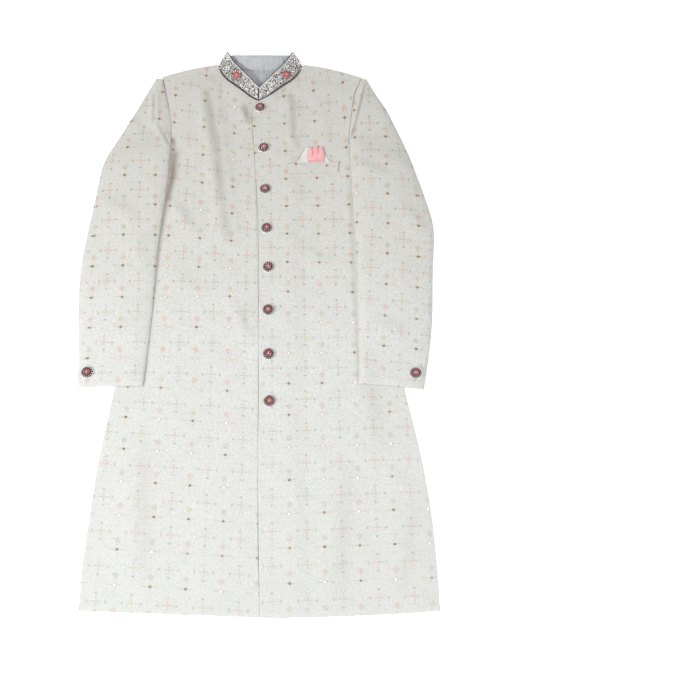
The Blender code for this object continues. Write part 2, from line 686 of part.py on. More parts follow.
def pocket_points(edge):
    """Points from just above the welt's top edge up to a pointed edge."""
    places, rise = (np.array(c, float) for c in zip(*edge))
    across = np.linspace(places[0], places[-1], SQUARE_COLUMNS)
    top = np.interp(across, places, rise)
    level = np.linspace(0, 1, SQUARE_ROWS)[:, None]
    up = welt_top(across)[None] + GAP * 2 + level * top[None]
    return np.stack([np.broadcast_to(across, up.shape), up], axis=2)


def pocket_square(front_tree):
    """The sheer edge and, on it, the pink square with its pleats."""
    net = laid_patch("pocket_net", pocket_points(NET_EDGE), [front_tree], NET_CLOTH, NET)
    wave = np.abs(np.sin(np.linspace(0, SQUARE_PLEATS * math.pi, SQUARE_COLUMNS)))
    pleat = np.linspace(*SQUARE_PLEAT_HEIGHT, SQUARE_ROWS)[:, None] * wave
    laid_patch("pocket_square", pocket_points(SQUARE_EDGE), [front_tree, net], SQUARE_CLOTH, PINK, pleat)


def button(name, x, y, under):
    """A domed button turned from its profile, seated on the cloth."""
    mesh = bmesh.new()
    profile = [mesh.verts.new((radius, 0, z)) for radius, z in BUTTON_PROFILE]
    for a, b in zip(profile, profile[1:]):
        mesh.edges.new((a, b))
    bmesh.ops.spin(
        mesh,
        geom=mesh.verts[:] + mesh.edges[:],
        cent=(0, 0, 0),
        axis=(0, 0, 1),
        angle=2 * math.pi,
        steps=BUTTON_SEGMENTS,
        use_merge=True,
    )
    bmesh.ops.holes_fill(mesh, edges=[e for e in mesh.edges if e.is_boundary], sides=0)
    bmesh.ops.recalc_face_normals(mesh, faces=mesh.faces[:])
    cap = max(mesh.faces, key=lambda f: f.calc_center_median().z)
    bmesh.ops.poke(mesh, faces=[cap], offset=BUTTON_TOP - BUTTON_PROFILE[-1][1])
    seat = top_of(under, x, y, BUTTON_RADIUS) + GAP
    bmesh.ops.translate(mesh, verts=mesh.verts[:], vec=(x, y, seat))
    thing = place(name, mesh, JEWEL)
    thing.data.shade_smooth()
    thing.data.set_sharp_from_angle(angle=BUTTON_EDGE_ANGLE)


def neck_tab(low):
    """The small plain tab at the back of the neck."""
    width, tall, cloth = TAB_SIZE
    x, y = TAB_PLACE
    signs = ((-1, -1), (1, -1), (1, 1), (-1, 1))
    outline = [(x + sx * width / 2, y + sy * tall / 2) for sx, sy in signs]
    slab("neck_tab", outline, low, low + cloth, NET)


def centre_on_origin():
    """Hangs every piece on one empty, so that the origin is the middle of the coat's underside."""
    pieces = list(bpy.data.objects)
    corners = np.array([tuple(v.co) for piece in pieces for v in piece.data.vertices])
    middle = (corners.min(axis=0) + corners.max(axis=0)) / 2
    root = bpy.data.objects.new("coat_root", None)
    bpy.context.collection.objects.link(root)
    root.location = (-middle[0], -middle[1], 0)
    for piece in pieces:
        piece.parent = root
    bpy.context.view_layer.update()


def build():
    """Builds every piece, from the one that lies on the surface up."""
    clear_scene()
    back = slab("back_panel", back_outline(), 0.0, BODY_CLOTH, BROCADE)
    lining_low = BODY_CLOTH + GAP
    slab("back_lining", lining_outline(), lining_low, lining_low + LINING_CLOTH, LINING)
    neck_tab(lining_low + LINING_CLOTH + GAP)
    right_front = front_panel("right_front", RIGHT_FRONT, [])
    left_front = front_panel("left_front", LEFT_FRONT, [right_front])
    right_sleeve = sleeve("right", RIGHT_SLEEVE, RIGHT_FRONT, [right_front], back)
    left_sleeve = sleeve("left", LEFT_SLEEVE, LEFT_FRONT, [left_front], back)
    collar_tree = collar()
    for side, x, y in FLOWER_SPOTS:
        flower(side, x, y, collar_tree)
    welt(left_front)
    pocket_square(left_front)
    for k, (x, y) in enumerate(FRONT_BUTTONS, start=1):
        button(f"front_button_{k}", x, y, [left_front, right_front])
    button("cuff_button_right", *CUFF_BUTTONS["right"], [right_sleeve])
    button("cuff_button_left", *CUFF_BUTTONS["left"], [left_sleeve])
    centre_on_origin()


build()
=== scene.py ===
"""The looks of a sherwani coat laid flat on its back: silk brocade panels with a charted repeat,
an embroidered stand collar, a lined neck, a breast welt with its square and ten jewelled buttons.

Places on the coat are millimetres from the middle of its hem: X to the wearer's left, Y up the
coat and Z up from the floor. "Right" and "left" are the wearer's.
"""

import math

import bmesh
import bpy
import numpy as np
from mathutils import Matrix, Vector
from mathutils.bvhtree import BVHTree


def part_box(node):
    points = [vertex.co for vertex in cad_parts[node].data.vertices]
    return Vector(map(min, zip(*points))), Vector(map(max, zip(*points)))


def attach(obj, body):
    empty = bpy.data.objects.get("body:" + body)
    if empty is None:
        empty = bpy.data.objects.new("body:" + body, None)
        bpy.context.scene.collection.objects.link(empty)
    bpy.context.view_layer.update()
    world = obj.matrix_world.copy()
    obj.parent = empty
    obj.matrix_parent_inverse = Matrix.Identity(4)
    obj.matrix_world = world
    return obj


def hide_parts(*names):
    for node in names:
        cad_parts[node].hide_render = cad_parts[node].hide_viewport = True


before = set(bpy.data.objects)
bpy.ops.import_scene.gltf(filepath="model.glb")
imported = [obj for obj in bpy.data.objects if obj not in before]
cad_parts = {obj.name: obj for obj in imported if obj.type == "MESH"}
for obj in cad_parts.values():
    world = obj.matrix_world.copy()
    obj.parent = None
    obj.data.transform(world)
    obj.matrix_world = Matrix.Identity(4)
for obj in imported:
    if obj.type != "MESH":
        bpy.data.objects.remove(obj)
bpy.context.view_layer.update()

MM = 0.001
HEM_MIDDLE = np.array((22.156, -561.529, 0.0))
SEED = 11

# Camera: over the hem, looking down and up the coat
CAMERA_PLACE = (0.1766, -0.6047, 1.6168)
CAMERA_AIM = (0.1766, -0.0794, 0.0)
CAMERA_LENS = 46.8
CAMERA_SENSOR = 36.0


def set_out(name, data, place=(0, 0, 0), aim=None):
    """An object in the scene, which may be turned to look at a place."""
    thing = bpy.data.objects.new(name, data)
    bpy.context.scene.collection.objects.link(thing)
    thing.location = place
    if aim:
        thing.rotation_euler = (Vector(aim) - Vector(place)).to_track_quat("-Z", "Y").to_euler()
    return thing


lens = bpy.data.cameras.new("camera")
lens.lens = CAMERA_LENS
lens.sensor_width = CAMERA_SENSOR
bpy.context.scene.camera = set_out("camera", lens, CAMERA_PLACE, CAMERA_AIM)


# ---------------------------------------------------------------- trees of nodes


class Amount:
    """A number, a vector or a colour from a node. Sums on a number add Math nodes to its tree."""

    def __init__(self, owner, socket):
        self.owner = owner
        self.socket = socket

    def math(self, operation, *values):
        return self.owner.add("ShaderNodeMath", {"operation": operation}, values)

    def __add__(self, other):
        return self.math("ADD", self, other)

    def __sub__(self, other):
        return self.math("SUBTRACT", self, other)

    def __rsub__(self, other):
        return self.math("SUBTRACT", other, self)

    def __mul__(self, other):
        return self.math("MULTIPLY", self, other)

    def __truediv__(self, other):
        return self.math("DIVIDE", self, other)

    __radd__ = __add__

    def __abs__(self):
        return self.math("ABSOLUTE", self)

    def hypot(self, other):
        """The long side over these two."""
        return self.math("SQRT", self * self + other * other)

    def part(self):
        """What is left past the whole number below."""
        return self.math("FRACT", self)

    def whole(self):
        return self.math("FLOOR", self)

    def most(self, other):
        return self.math("MAXIMUM", self, other)

    def wave(self):
        """From 0 to 1 and back, once for each whole number."""
        return self.math("SINE", self * (2 * math.pi)) * 0.5 + 0.5

    def ramp(self, start, end):
        """0 at start and 1 at end, which may be the lower one."""
        return self.owner.add("ShaderNodeMapRange", {}, [self, start, end, 0.0, 1.0])

    def inside(self, edge, soft):
        """1 below the edge and 0 above it."""
        return self.ramp(edge + soft, edge - soft)


class Tree:
    """A node tree, for a finish or for small pieces that are grown on a mesh."""

    def add(self, kind, settings, values, output=0):
        """A node: its settings, then its sockets' values or links, in order or by name."""
        node = self.tree.nodes.new(kind)
        stops = settings.pop("stops", ())
        for name, value in settings.items():
            setattr(node, name, value)
        if stops:
            node.color_ramp.interpolation = "CONSTANT"
            while len(node.color_ramp.elements) < len(stops):
                node.color_ramp.elements.new(1.0)
            for element, (place, colour) in zip(node.color_ramp.elements, stops):
                element.position = place
                element.color = (*colour, 1)
        pairs = values.items() if isinstance(values, dict) else enumerate(values)
        for key, value in pairs:
            if isinstance(value, Amount):
                self.tree.links.new(value.socket, node.inputs[key])
            else:
                node.inputs[key].default_value = value
        return Amount(self, node.outputs[output])


MAP = "chart"
FOLD_SHADE = "fold_shade"


class Finish(Tree):
    """A procedural material: a Principled shader and the nodes that feed it."""

    def __init__(self, name, **constants):
        self.material = bpy.data.materials.new(name)
        self.material.use_nodes = True
        self.tree = self.material.node_tree
        self.shader = self.tree.nodes["Principled BSDF"]
        for socket, value in constants.items():
            self.shader.inputs[socket.replace("_", " ")].default_value = value

    def feed(self, **links):
        """Links amounts or colours to the shader's sockets."""
        for socket, amount in links.items():
            self.tree.links.new(amount.socket, self.shader.inputs[socket.replace("_", " ")])

    def chart(self):
        """The piece's own map, and its two numbers."""
        place = self.add("ShaderNodeUVMap", {"uv_map": MAP}, [])
        across = self.add("ShaderNodeSeparateXYZ", {}, [place], "X")
        along = self.add("ShaderNodeSeparateXYZ", {}, [place], "Y")
        return place, across, along

    def spot(self):
        """The place in the frame, in metres."""
        return self.add("ShaderNodeTexCoord", {}, [], "Object")

    def speckle(self, place, scale, detail=2.0):
        """Soft noise round 0.5."""
        inputs = {"Vector": place, "Scale": scale, "Detail": detail}
        return self.add("ShaderNodeTexNoise", {}, inputs)

    def cells(self, place, scale, feature="F1"):
        """Distance from the middles, or from the edges, of small uneven cells."""
        inputs = {"Vector": place, "Scale": scale}
        return self.add("ShaderNodeTexVoronoi", {"feature": feature}, inputs, "Distance")

    def chance(self, *numbers):
        """The same random number wherever these whole numbers are the same."""
        point = self.add("ShaderNodeCombineXYZ", {}, numbers)
        return self.add("ShaderNodeTexWhiteNoise", {}, {"Vector": point})

    def pick(self, amount, colours):
        """One of the colours, by an amount from 0 to 1."""
        stops = [(k / len(colours), colour) for k, colour in enumerate(colours)]
        return self.add("ShaderNodeValToRGB", {"stops": stops}, [amount])

    def dye(self, colour, over, amount):
        """A colour, with another laid over it by an amount."""
        first, second = ((*c, 1) if isinstance(c, tuple) else c for c in (colour, over))
        return self.add("ShaderNodeMix", {"data_type": "RGBA"}, {0: amount, 6: first, 7: second}, 2)

    def relief(self, height, depth):
        """A bump of that depth in metres."""
        inputs = {"Strength": 1.0, "Distance": depth, "Height": height}
        self.feed(Normal=self.add("ShaderNodeBump", {}, inputs))


class Growth(Tree):
    """A Geometry Nodes tree with named inputs that grows small pieces on a mesh."""

    SOCKETS = {float: "NodeSocketFloat", int: "NodeSocketInt", type(None): "NodeSocketMaterial"}

    def __init__(self, name, **inputs):
        self.tree = bpy.data.node_groups.new(name, "GeometryNodeTree")
        face = self.tree.interface
        face.new_socket("Geometry", in_out="INPUT", socket_type="NodeSocketGeometry")
        face.new_socket("Geometry", in_out="OUTPUT", socket_type="NodeSocketGeometry")
        self.keys = {}
        for label, value in inputs.items():
            kind = self.SOCKETS[type(value)]
            socket = face.new_socket(label, in_out="INPUT", socket_type=kind)
            self.keys[label] = socket.identifier
            if value is not None:
                socket.default_value = value
        self.source = self.tree.nodes.new("NodeGroupInput")
        self.result = self.tree.nodes.new("NodeGroupOutput")

    def given(self, label):
        return Amount(self, self.source.outputs[label])

    def end(self, geometry, smooth_shaded):
        """Ends the tree: plain mesh, shaded and in its finish."""
        plain = self.add("GeometryNodeRealizeInstances", {}, {"Geometry": geometry})
        shading = {"Geometry": plain, "Shade Smooth": smooth_shaded}
        shaded = self.add("GeometryNodeSetShadeSmooth", {}, shading)
        dressed = {"Geometry": shaded, "Material": self.given("Finish")}
        done = self.add("GeometryNodeSetMaterial", {}, dressed)
        self.tree.links.new(done.socket, self.result.inputs[0])

    def grow(self, mesh, **values):
        """The mesh that the tree makes from a mesh and its inputs."""
        thing = piece(mesh.name, mesh)
        grower = thing.modifiers.new("grow", "NODES")
        grower.node_group = self.tree
        for label, value in values.items():
            grower[self.keys[label]] = value
        settle(thing)
        grown = thing.data
        bpy.data.objects.remove(thing)
        return grown


# ---------------------------------------------------------------- finishes

REPEAT_WIDE = 61.0
REPEAT_HIGH = 60.0

IVORY = (0.668, 0.677, 0.668)
IVORY_SHADE = (0.470, 0.478, 0.470)
# Painted shade, darkening the cloth towards the chest
CHEST_PAINTED_SHADE = (0.500, 0.478, 0.432)
# Painted shade for creases, pressed lines and the fronts under the sleeves
PAINTED_SHADE_GREY = (0.250, 0.220, 0.185)
WARM_TINT = (0.620, 0.560, 0.500)
GREEN_TINT = (0.560, 0.600, 0.520)
THREAD_GREY = (0.225, 0.225, 0.185)
DOT_BROWN = (0.230, 0.175, 0.095)
PEACH = (0.640, 0.340, 0.215)
OLIVE = (0.450, 0.420, 0.240)
THREAD_COLOURS = [
    (0.66, 0.26, 0.24), (0.64, 0.35, 0.21), (0.34, 0.43, 0.21), (0.66, 0.29, 0.29),
    (0.52, 0.46, 0.19), (0.25, 0.39, 0.25), (0.66, 0.30, 0.22),
]


def brocade():
    """Ivory silk with a diamond ground, coloured crosses with tips, and blossoms over dots."""
    cloth = Finish("ivory_brocade", Sheen_Weight=0.12, Sheen_Roughness=0.4)
    place, u, v = cloth.chart()

    # Millimetres from the nearest cross and from the nearest dot
    x = (u.part() - 0.5) * REPEAT_WIDE
    y = (v.part() - 0.5) * REPEAT_HIGH
    dot_x = ((u + 0.5).part() - 0.5) * REPEAT_WIDE
    dot_y = ((v + 0.5).part() - 0.5) * REPEAT_HIGH
    cross_luck = cloth.chance(u.whole(), v.whole(), 1.0)
    dot_luck = cloth.chance((u + 0.5).whole(), (v + 0.5).whole(), 2.0)
    side_luck = cloth.chance((u + 0.5).whole(), (v + 0.5).whole(), 3.0)
    ax, ay = abs(x), abs(y)
    bx, by = abs(dot_x), abs(dot_y)

    # Nested diamonds of the ground, worked in fine slanting threads
    ground = ((ax + ay) / 4.6).wave()
    fine = cloth.speckle(place, 70.0, 2.0).ramp(0.3, 0.7)
    grain = cloth.speckle(place, 26.0, 3.0).ramp(0.3, 0.7)
    cloud = cloth.speckle(place, 2.2, 2.0).ramp(0.3, 0.7)

    # Cross: specks at its tips, its arms, a dotted diamond and a coloured middle
    across_tip = abs(ax + ay - 17.4).inside(1.0, 0.5) * ay.inside(2.6, 0.4)
    along_tip = abs(ax + ay - 15.6).inside(1.0, 0.5) * ax.inside(2.6, 0.4)
    tips = across_tip.most(along_tip) * grain.ramp(0.0, 0.5)
    reach = cross_luck.inside(0.4, 0.01) * 8.0 + 14.0
    arms = (ay.inside(0.6, 0.3) * (ax - reach).inside(0.0, 0.5)).most(
        ax.inside(0.6, 0.3) * ay.inside(12.0, 0.5)
    )
    dashes = ((ax - ay) / 2.4).wave().ramp(0.2, 0.6)
    diamond = abs(ax * 0.8 + ay - 8.5).inside(1.0, 0.5) * dashes
    middle = (ay.inside(1.2, 0.5) * ax.inside(7.5, 0.8)).most(
        ax.inside(1.2, 0.5) * ay.inside(6.5, 0.8)
    )

    # Blossom over the dot, in five small lobes
    up = dot_y - 16.0
    turn = up.math("ARCTAN2", up, dot_x)
    far = up.hypot(dot_x)
    lobes = (turn * (5 / (2 * math.pi))).wave()
    petals = (far - lobes * 1.8).inside(4.0, 0.7)
    blossom = petals * ((far / 2.1).wave() * 0.6 + grain * 0.6).ramp(0.1, 0.8)

    # Dot, its side arms, side flowers and stem
    dot_far = bx.hypot(by)
    dot = dot_far.inside(2.5, 0.7)
    halo = dot_far.inside(4.0, 1.6)
    side_arms = by.inside(0.8, 0.4) * bx.inside(13.5, 0.8) * (bx / 2.6).wave().ramp(0.2, 0.6)
    side_far = (bx - 15.0).hypot(by)
    side_flowers = side_far.inside(3.2, 0.8) * side_luck.inside(0.5, 0.01) * grain
    stem = bx.inside(0.5, 0.3) * abs(dot_y + 2.0).inside(14.0, 0.8)

    # The threads' colours stand out more towards the coat's chest than at its hem, where painted
    # glare washes them out
    height = cloth.add("ShaderNodeSeparateXYZ", {}, [cloth.spot()], "Y")
    clear_of_painted_glare = height.ramp(-0.35, 0.3) * 0.45 + 0.55
    mottle = cloth.speckle(place, 15.0, 2.0).ramp(0.38, 0.62)
    pepper = cloth.speckle(place, 11.0, 2.0).ramp(0.42, 0.6)
    ragged = (fine * 0.6 + 0.4) * (1.3 - pepper * 0.9)
    tint = cloth.dye(WARM_TINT, GREEN_TINT, cloth.speckle(place, 14.0, 2.0).ramp(0.4, 0.6))
    hatch = ground * (fine * 0.6 + 0.2) * (clear_of_painted_glare - 0.2) * 0.6
    worn = hatch + grain * 0.28 + mottle * 0.36 + cloud * 0.12 - 0.16
    cross_colour = cloth.dye(cloth.pick(cross_luck, THREAD_COLOURS), PEACH, mottle * 0.5)
    blossom_colour = cloth.dye(cloth.pick(dot_luck, THREAD_COLOURS[::-1]), OLIVE, mottle * 0.45)
    side_colour = cloth.pick(side_luck, THREAD_COLOURS[2:] + THREAD_COLOURS[:2])
    shade = cloth.add("ShaderNodeAttribute", {"attribute_name": FOLD_SHADE}, [], "Fac")
    colour = cloth.dye(IVORY, IVORY_SHADE, worn)
    for over, amount in (
        (THREAD_GREY, pepper * clear_of_painted_glare * 0.2),
        (tint, fine * 0.2 + mottle * 0.25),
        # Painted shade, darker towards the chest and towards the hem
        (CHEST_PAINTED_SHADE, height.ramp(-0.05, 0.35) * 0.42),
        (IVORY_SHADE, height.ramp(-0.1, -0.55) * 0.28),
        (THREAD_GREY, arms.most(stem) * clear_of_painted_glare * 0.24),
        (cross_colour, diamond * ragged * clear_of_painted_glare * 0.3),
        (cross_colour, middle * ragged * clear_of_painted_glare * 0.6),
        (blossom_colour, blossom * clear_of_painted_glare * (mottle * 0.35 + 0.5)),
        (PEACH, halo * clear_of_painted_glare * 0.25),
        (PEACH, side_arms * ragged * clear_of_painted_glare * 0.6),
        (side_colour, side_flowers * clear_of_painted_glare * 0.6),
        (THREAD_GREY, tips * clear_of_painted_glare * 0.9),
        # The woven dots fade towards the hem, where more of their sequins are painted glints
        (DOT_BROWN, dot * height.ramp(-0.6, 0.2) * 0.8),
        # Painted shade of creases, pressed lines and the sleeves' shadow on the fronts
        (PAINTED_SHADE_GREY, shade),
    ):
        colour = cloth.dye(colour, over, amount)
    cloth.feed(Base_Color=colour)

    raised = tips.most(dot).most(blossom).most(middle).most(side_arms)
    cloth.relief(ground * 0.4 + fine * 0.35 + grain * 0.3 + raised * 0.8, 0.0005)
    cloth.feed(Roughness=0.66 - ground * 0.14 - raised * 0.12)
    return cloth.material


def plain_silk(name, colour, shade, stretch):
    """Smooth woven cloth with slubs that run along the piece."""
    cloth = Finish(name, Sheen_Weight=0.2)
    place = cloth.spot()
    run = cloth.add("ShaderNodeMapping", {}, {"Vector": place, "Scale": stretch})
    slub = cloth.speckle(run, 1.0, 3.0)
    weave = cloth.speckle(place, 2600.0, 1.0)
    cloud = cloth.speckle(place, 60.0, 2.0)
    amount = slub.ramp(0.35, 0.65) * 0.6 + cloud.ramp(0.35, 0.65) * 0.4
    cloth.feed(Base_Color=cloth.dye(colour, shade, amount))
    cloth.feed(Roughness=0.55 + slub * 0.2)
    cloth.relief(weave * 0.5 + slub * 0.5, 0.00025)
    return cloth.material


def sheer_net():
    """Thin open cloth that lets the brocade show through."""
    net = Finish("sheer_net", Roughness=0.7)
    place = net.spot()
    weave = net.cells(place, 900.0, "DISTANCE_TO_EDGE")
    cloud = net.speckle(place, 90.0)
    net.feed(Base_Color=net.dye((0.86, 0.86, 0.85), (0.68, 0.68, 0.67), cloud))
    net.feed(Alpha=0.62 + weave.inside(0.12, 0.06) * 0.25)
    net.relief(weave, 0.0002)
    return net.material


def embroidery_ground():
    """Silver tissue closely worked with dark and silver scrolls. Its map is in millimetres."""
    cloth = Finish("silver_embroidery")
    place, _, _ = cloth.chart()
    inputs = {"Vector": place, "Scale": 0.3, "Detail": 1.0}
    drift = cloth.add("ShaderNodeTexNoise", {}, inputs, "Color")
    steps = {"operation": "MULTIPLY_ADD"}
    moved = cloth.add("ShaderNodeVectorMath", steps, [drift, (3.0, 3.0, 0.0), place])
    veins = cloth.cells(moved, 0.31, "DISTANCE_TO_EDGE")
    seeds = cloth.cells(place, 0.46)
    dark = veins.inside(0.13, 0.04).most(seeds.inside(0.30, 0.06) * 0.95)
    silver = seeds.ramp(0.2, 0.5)
    thread = cloth.speckle(place, 5.0).ramp(0.35, 0.65)
    colour = cloth.dye((0.36, 0.34, 0.32), (0.84, 0.81, 0.78), silver * 0.7 + thread * 0.3)
    colour = cloth.dye(colour, (0.030, 0.026, 0.022), dark * 0.9)
    cloth.feed(Base_Color=colour)
    cloth.feed(Metallic=silver * (1 - dark) * 0.3)
    cloth.feed(Roughness=0.55 - silver * 0.15)
    cloth.relief(silver - dark * 0.6 + thread * 0.2, 0.0006)
    return cloth.material


def worn_metal(name, bright, dull, roughness, metallic):
    """Metal or metal thread, duller in its hollows."""
    metal = Finish(name, Metallic=metallic)
    spots = metal.speckle(metal.spot(), 700.0, 3.0)
    metal.feed(Base_Color=metal.dye(dull, bright, spots.ramp(0.35, 0.62)))
    metal.feed(Roughness=roughness + 0.25 - spots * 0.4)
    metal.relief(spots, 0.0001)
    return metal.material


def stone(name, colour, deep):
    """A small cut stone, deeper in tone here and there."""
    made = Finish(name, Roughness=0.08, Coat_Weight=1.0, Coat_Roughness=0.03, IOR=1.7)
    cloud = made.speckle(made.spot(), 420.0)
    made.feed(Base_Color=made.dye(colour, deep, cloud.ramp(0.35, 0.7)))
    return made.material


def rose_cloth():
    """Pink-red silk petals with darker roots."""
    cloth = Finish("rose_applique", Roughness=0.6, Sheen_Weight=0.3)
    place = cloth.spot()
    fray = cloth.speckle(place, 700.0, 3.0)
    folds = cloth.cells(place, 260.0)
    amount = folds.ramp(0.1, 0.6) * 0.7 + fray * 0.3
    cloth.feed(Base_Color=cloth.dye((0.16, 0.035, 0.035), (0.44, 0.120, 0.115), amount))
    cloth.relief(folds + fray * 0.4, 0.0005)
    return cloth.material


BROCADE = brocade()
LINING = plain_silk(
    "lavender_lining", (0.455, 0.460, 0.480), (0.345, 0.350, 0.375), (420, 18, 60)
)
PINK = plain_silk("pink_silk", (0.830, 0.470, 0.470), (0.700, 0.310, 0.330), (500, 60, 60))
# Deep pink for a roll of the pocket square and for tubes of painted crease shade on it
DEEP_PINK_ROLL_AND_SHADE = plain_silk("deep_pink_roll_and_painted_shade", (0.66, 0.24, 0.28), (0.50, 0.15, 0.19), (500, 60, 60))
NET = sheer_net()
EMBROIDERY = embroidery_ground()
ROSE = rose_cloth()
SILVER = worn_metal("silver_thread", (0.96, 0.95, 0.93), (0.62, 0.60, 0.58), 0.3, 0.35)
DARK_CORD = worn_metal("dark_thread", (0.050, 0.042, 0.036), (0.012, 0.010, 0.008), 0.45, 0.3)
GOLD_SEQUIN = worn_metal("gold_sequin", (0.40, 0.34, 0.22), (0.19, 0.150, 0.085), 0.3, 0.4)
# White copies of the sequins, for their painted glints
PAINTED_GLINT_SEQUIN = worn_metal("painted_glint_sequin", (1.00, 1.00, 0.98), (0.88, 0.88, 0.86), 0.15, 0.1)
LEAF = plain_silk("leaf_thread", (0.055, 0.090, 0.040), (0.020, 0.040, 0.020), (300, 300, 300))
OXIDISED = worn_metal("oxidised_metal", (0.080, 0.070, 0.068), (0.010, 0.009, 0.009), 0.35, 0.6)
RIM = worn_metal("bright_rim", (0.96, 0.95, 0.94), (0.72, 0.71, 0.70), 0.22, 0.3)
CRYSTAL = stone("crystal", (0.88, 0.89, 0.90), (0.60, 0.62, 0.65))
RUBY = stone("pink_stone", (0.60, 0.085, 0.095), (0.28, 0.020, 0.028))
THREAD = plain_silk("ivory_thread", (0.68, 0.67, 0.61), (0.48, 0.47, 0.42), (500, 500, 500))
EDGE_GREY = plain_silk("grey_edging", (0.26, 0.25, 0.23), (0.15, 0.14, 0.13), (400, 400, 400))
# Grey for the cord of painted shadow down the lapped edge
LAP_SHADOW_GREY = plain_silk("lap_painted_shadow", (0.40, 0.37, 0.33), (0.30, 0.27, 0.24), (400, 400, 400))


# ---------------------------------------------------------------- making pieces


def piece(name, mesh, *materials):
    """An object in the scene for a mesh, which may take other finishes."""
    thing = set_out(name, mesh)
    if materials:
        mesh.materials.clear()
        for material in materials:
            mesh.materials.append(material)
    return thing


def seat(thing, slot, *nodes):
    """Rides on the coat and stands for its nodes; its slot is not used."""
    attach(thing, "root")
    if nodes:
        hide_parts(*nodes)
    return thing


def settle(thing):
    """Applies the piece's modifiers to its mesh."""
    bpy.context.view_layer.update()
    graph = bpy.context.evaluated_depsgraph_get()
    shaped = thing.evaluated_get(graph)
    keep = {"preserve_all_data_layers": True, "depsgraph": graph}
    done = bpy.data.meshes.new_from_object(shaped, **keep)
    thing.modifiers.clear()
    thing.data = done
    return thing


def soften(thing, width):
    """Rounds the piece's edges and shades it smooth."""
    bevel = thing.modifiers.new("soften", "BEVEL")
    bevel.width = width * MM
    bevel.segments = 2
    bevel.limit_method = "ANGLE"
    bevel.angle_limit = math.radians(50)
    settle(thing)
    thing.data.shade_smooth()
    return thing


def mesh_of(name, places, edges=(), faces=()):
    """A mesh from places in millimetres from the hem's middle."""
    mesh = bpy.data.meshes.new(name)
    mesh.from_pydata(((places + HEM_MIDDLE) * MM).tolist(), edges, faces)
    return mesh


def points_of(mesh):
    """A mesh's points as an array, in millimetres from the hem's middle."""
    flat = np.empty(len(mesh.vertices) * 3)
    mesh.vertices.foreach_get("co", flat)
    return flat.reshape(-1, 3) / MM - HEM_MIDDLE


def move_points(mesh, points):
    mesh.vertices.foreach_set("co", ((points + HEM_MIDDLE) * MM).ravel())
    mesh.update()


def write_chart(mesh, across, along):
    """Writes the piece's map, a pair of numbers for each point."""
    layer = mesh.uv_layers.new(name=MAP)
    corner = np.empty(len(mesh.loops), int)
    mesh.loops.foreach_get("vertex_index", corner)
    layer.data.foreach_set("uv", np.stack([across[corner], along[corner]], axis=1).ravel())


def write_points(mesh, name, kind, values):
    """Writes an attribute, a number or a vector for each point."""
    layer = mesh.attributes.new(name, kind, "POINT")
    layer.data.foreach_set("value" if kind == "FLOAT" else "vector", np.ravel(values))


def joined(name, *meshes):
    """One mesh from several, each with its own finishes."""
    work = bmesh.new()
    finishes = []
    for mesh in meshes:
        start = len(work.faces)
        work.from_mesh(mesh)
        work.faces.ensure_lookup_table()
        for face in work.faces[start:]:
            face.material_index += len(finishes)
        finishes += mesh.materials
    whole = bpy.data.meshes.new(name)
    work.to_mesh(whole)
    work.free()
    for finish in finishes:
        whole.materials.append(finish)
    return whole


def unit(vectors):
    """The vectors, each made one long."""
    return vectors / np.linalg.norm(vectors, axis=-1, keepdims=True)


def reach_of(line):
    """How far along a line each of its points is."""
    steps = np.linalg.norm(np.diff(line, axis=0), axis=1)
    return np.concatenate([[0], np.cumsum(steps)])


def read(table, at):
    """A table's second column at values of its first, carried on past both ends."""
    first, second = (np.array(c, float) for c in zip(*table))
    found = np.interp(at, first, second)
    start = (second[1] - second[0]) / (first[1] - first[0])
    end = (second[-1] - second[-2]) / (first[-1] - first[-2])
    found = np.where(at < first[0], second[0] + (at - first[0]) * start, found)
    return np.where(at > first[-1], second[-1] + (at - first[-1]) * end, found)


def smooth(stations, values, at):
    """A curve through the values, read at some stations, which never overshoots between rows."""
    step = np.diff(stations)
    slope = np.diff(values) / step
    rate = np.zeros(len(values))
    rate[0], rate[-1] = slope[0], slope[-1]
    for i in range(1, len(values) - 1):
        if slope[i - 1] * slope[i] > 0:
            rate[i] = 2 * slope[i - 1] * slope[i] / (slope[i - 1] + slope[i])
    k = np.clip(np.searchsorted(stations, at, side="right") - 1, 0, len(step) - 1)
    t = np.clip((at - stations[k]) / step[k], 0, 1)
    start, end = values[k], values[k + 1]
    bend = (1 - t) * rate[k] * step[k] - t * rate[k + 1] * step[k]
    return start * (1 - t) + end * t + t * (1 - t) * (bend + (start - end) * (1 - 2 * t))


# ---------------------------------------------------------------- the cloth's repeat and its folds

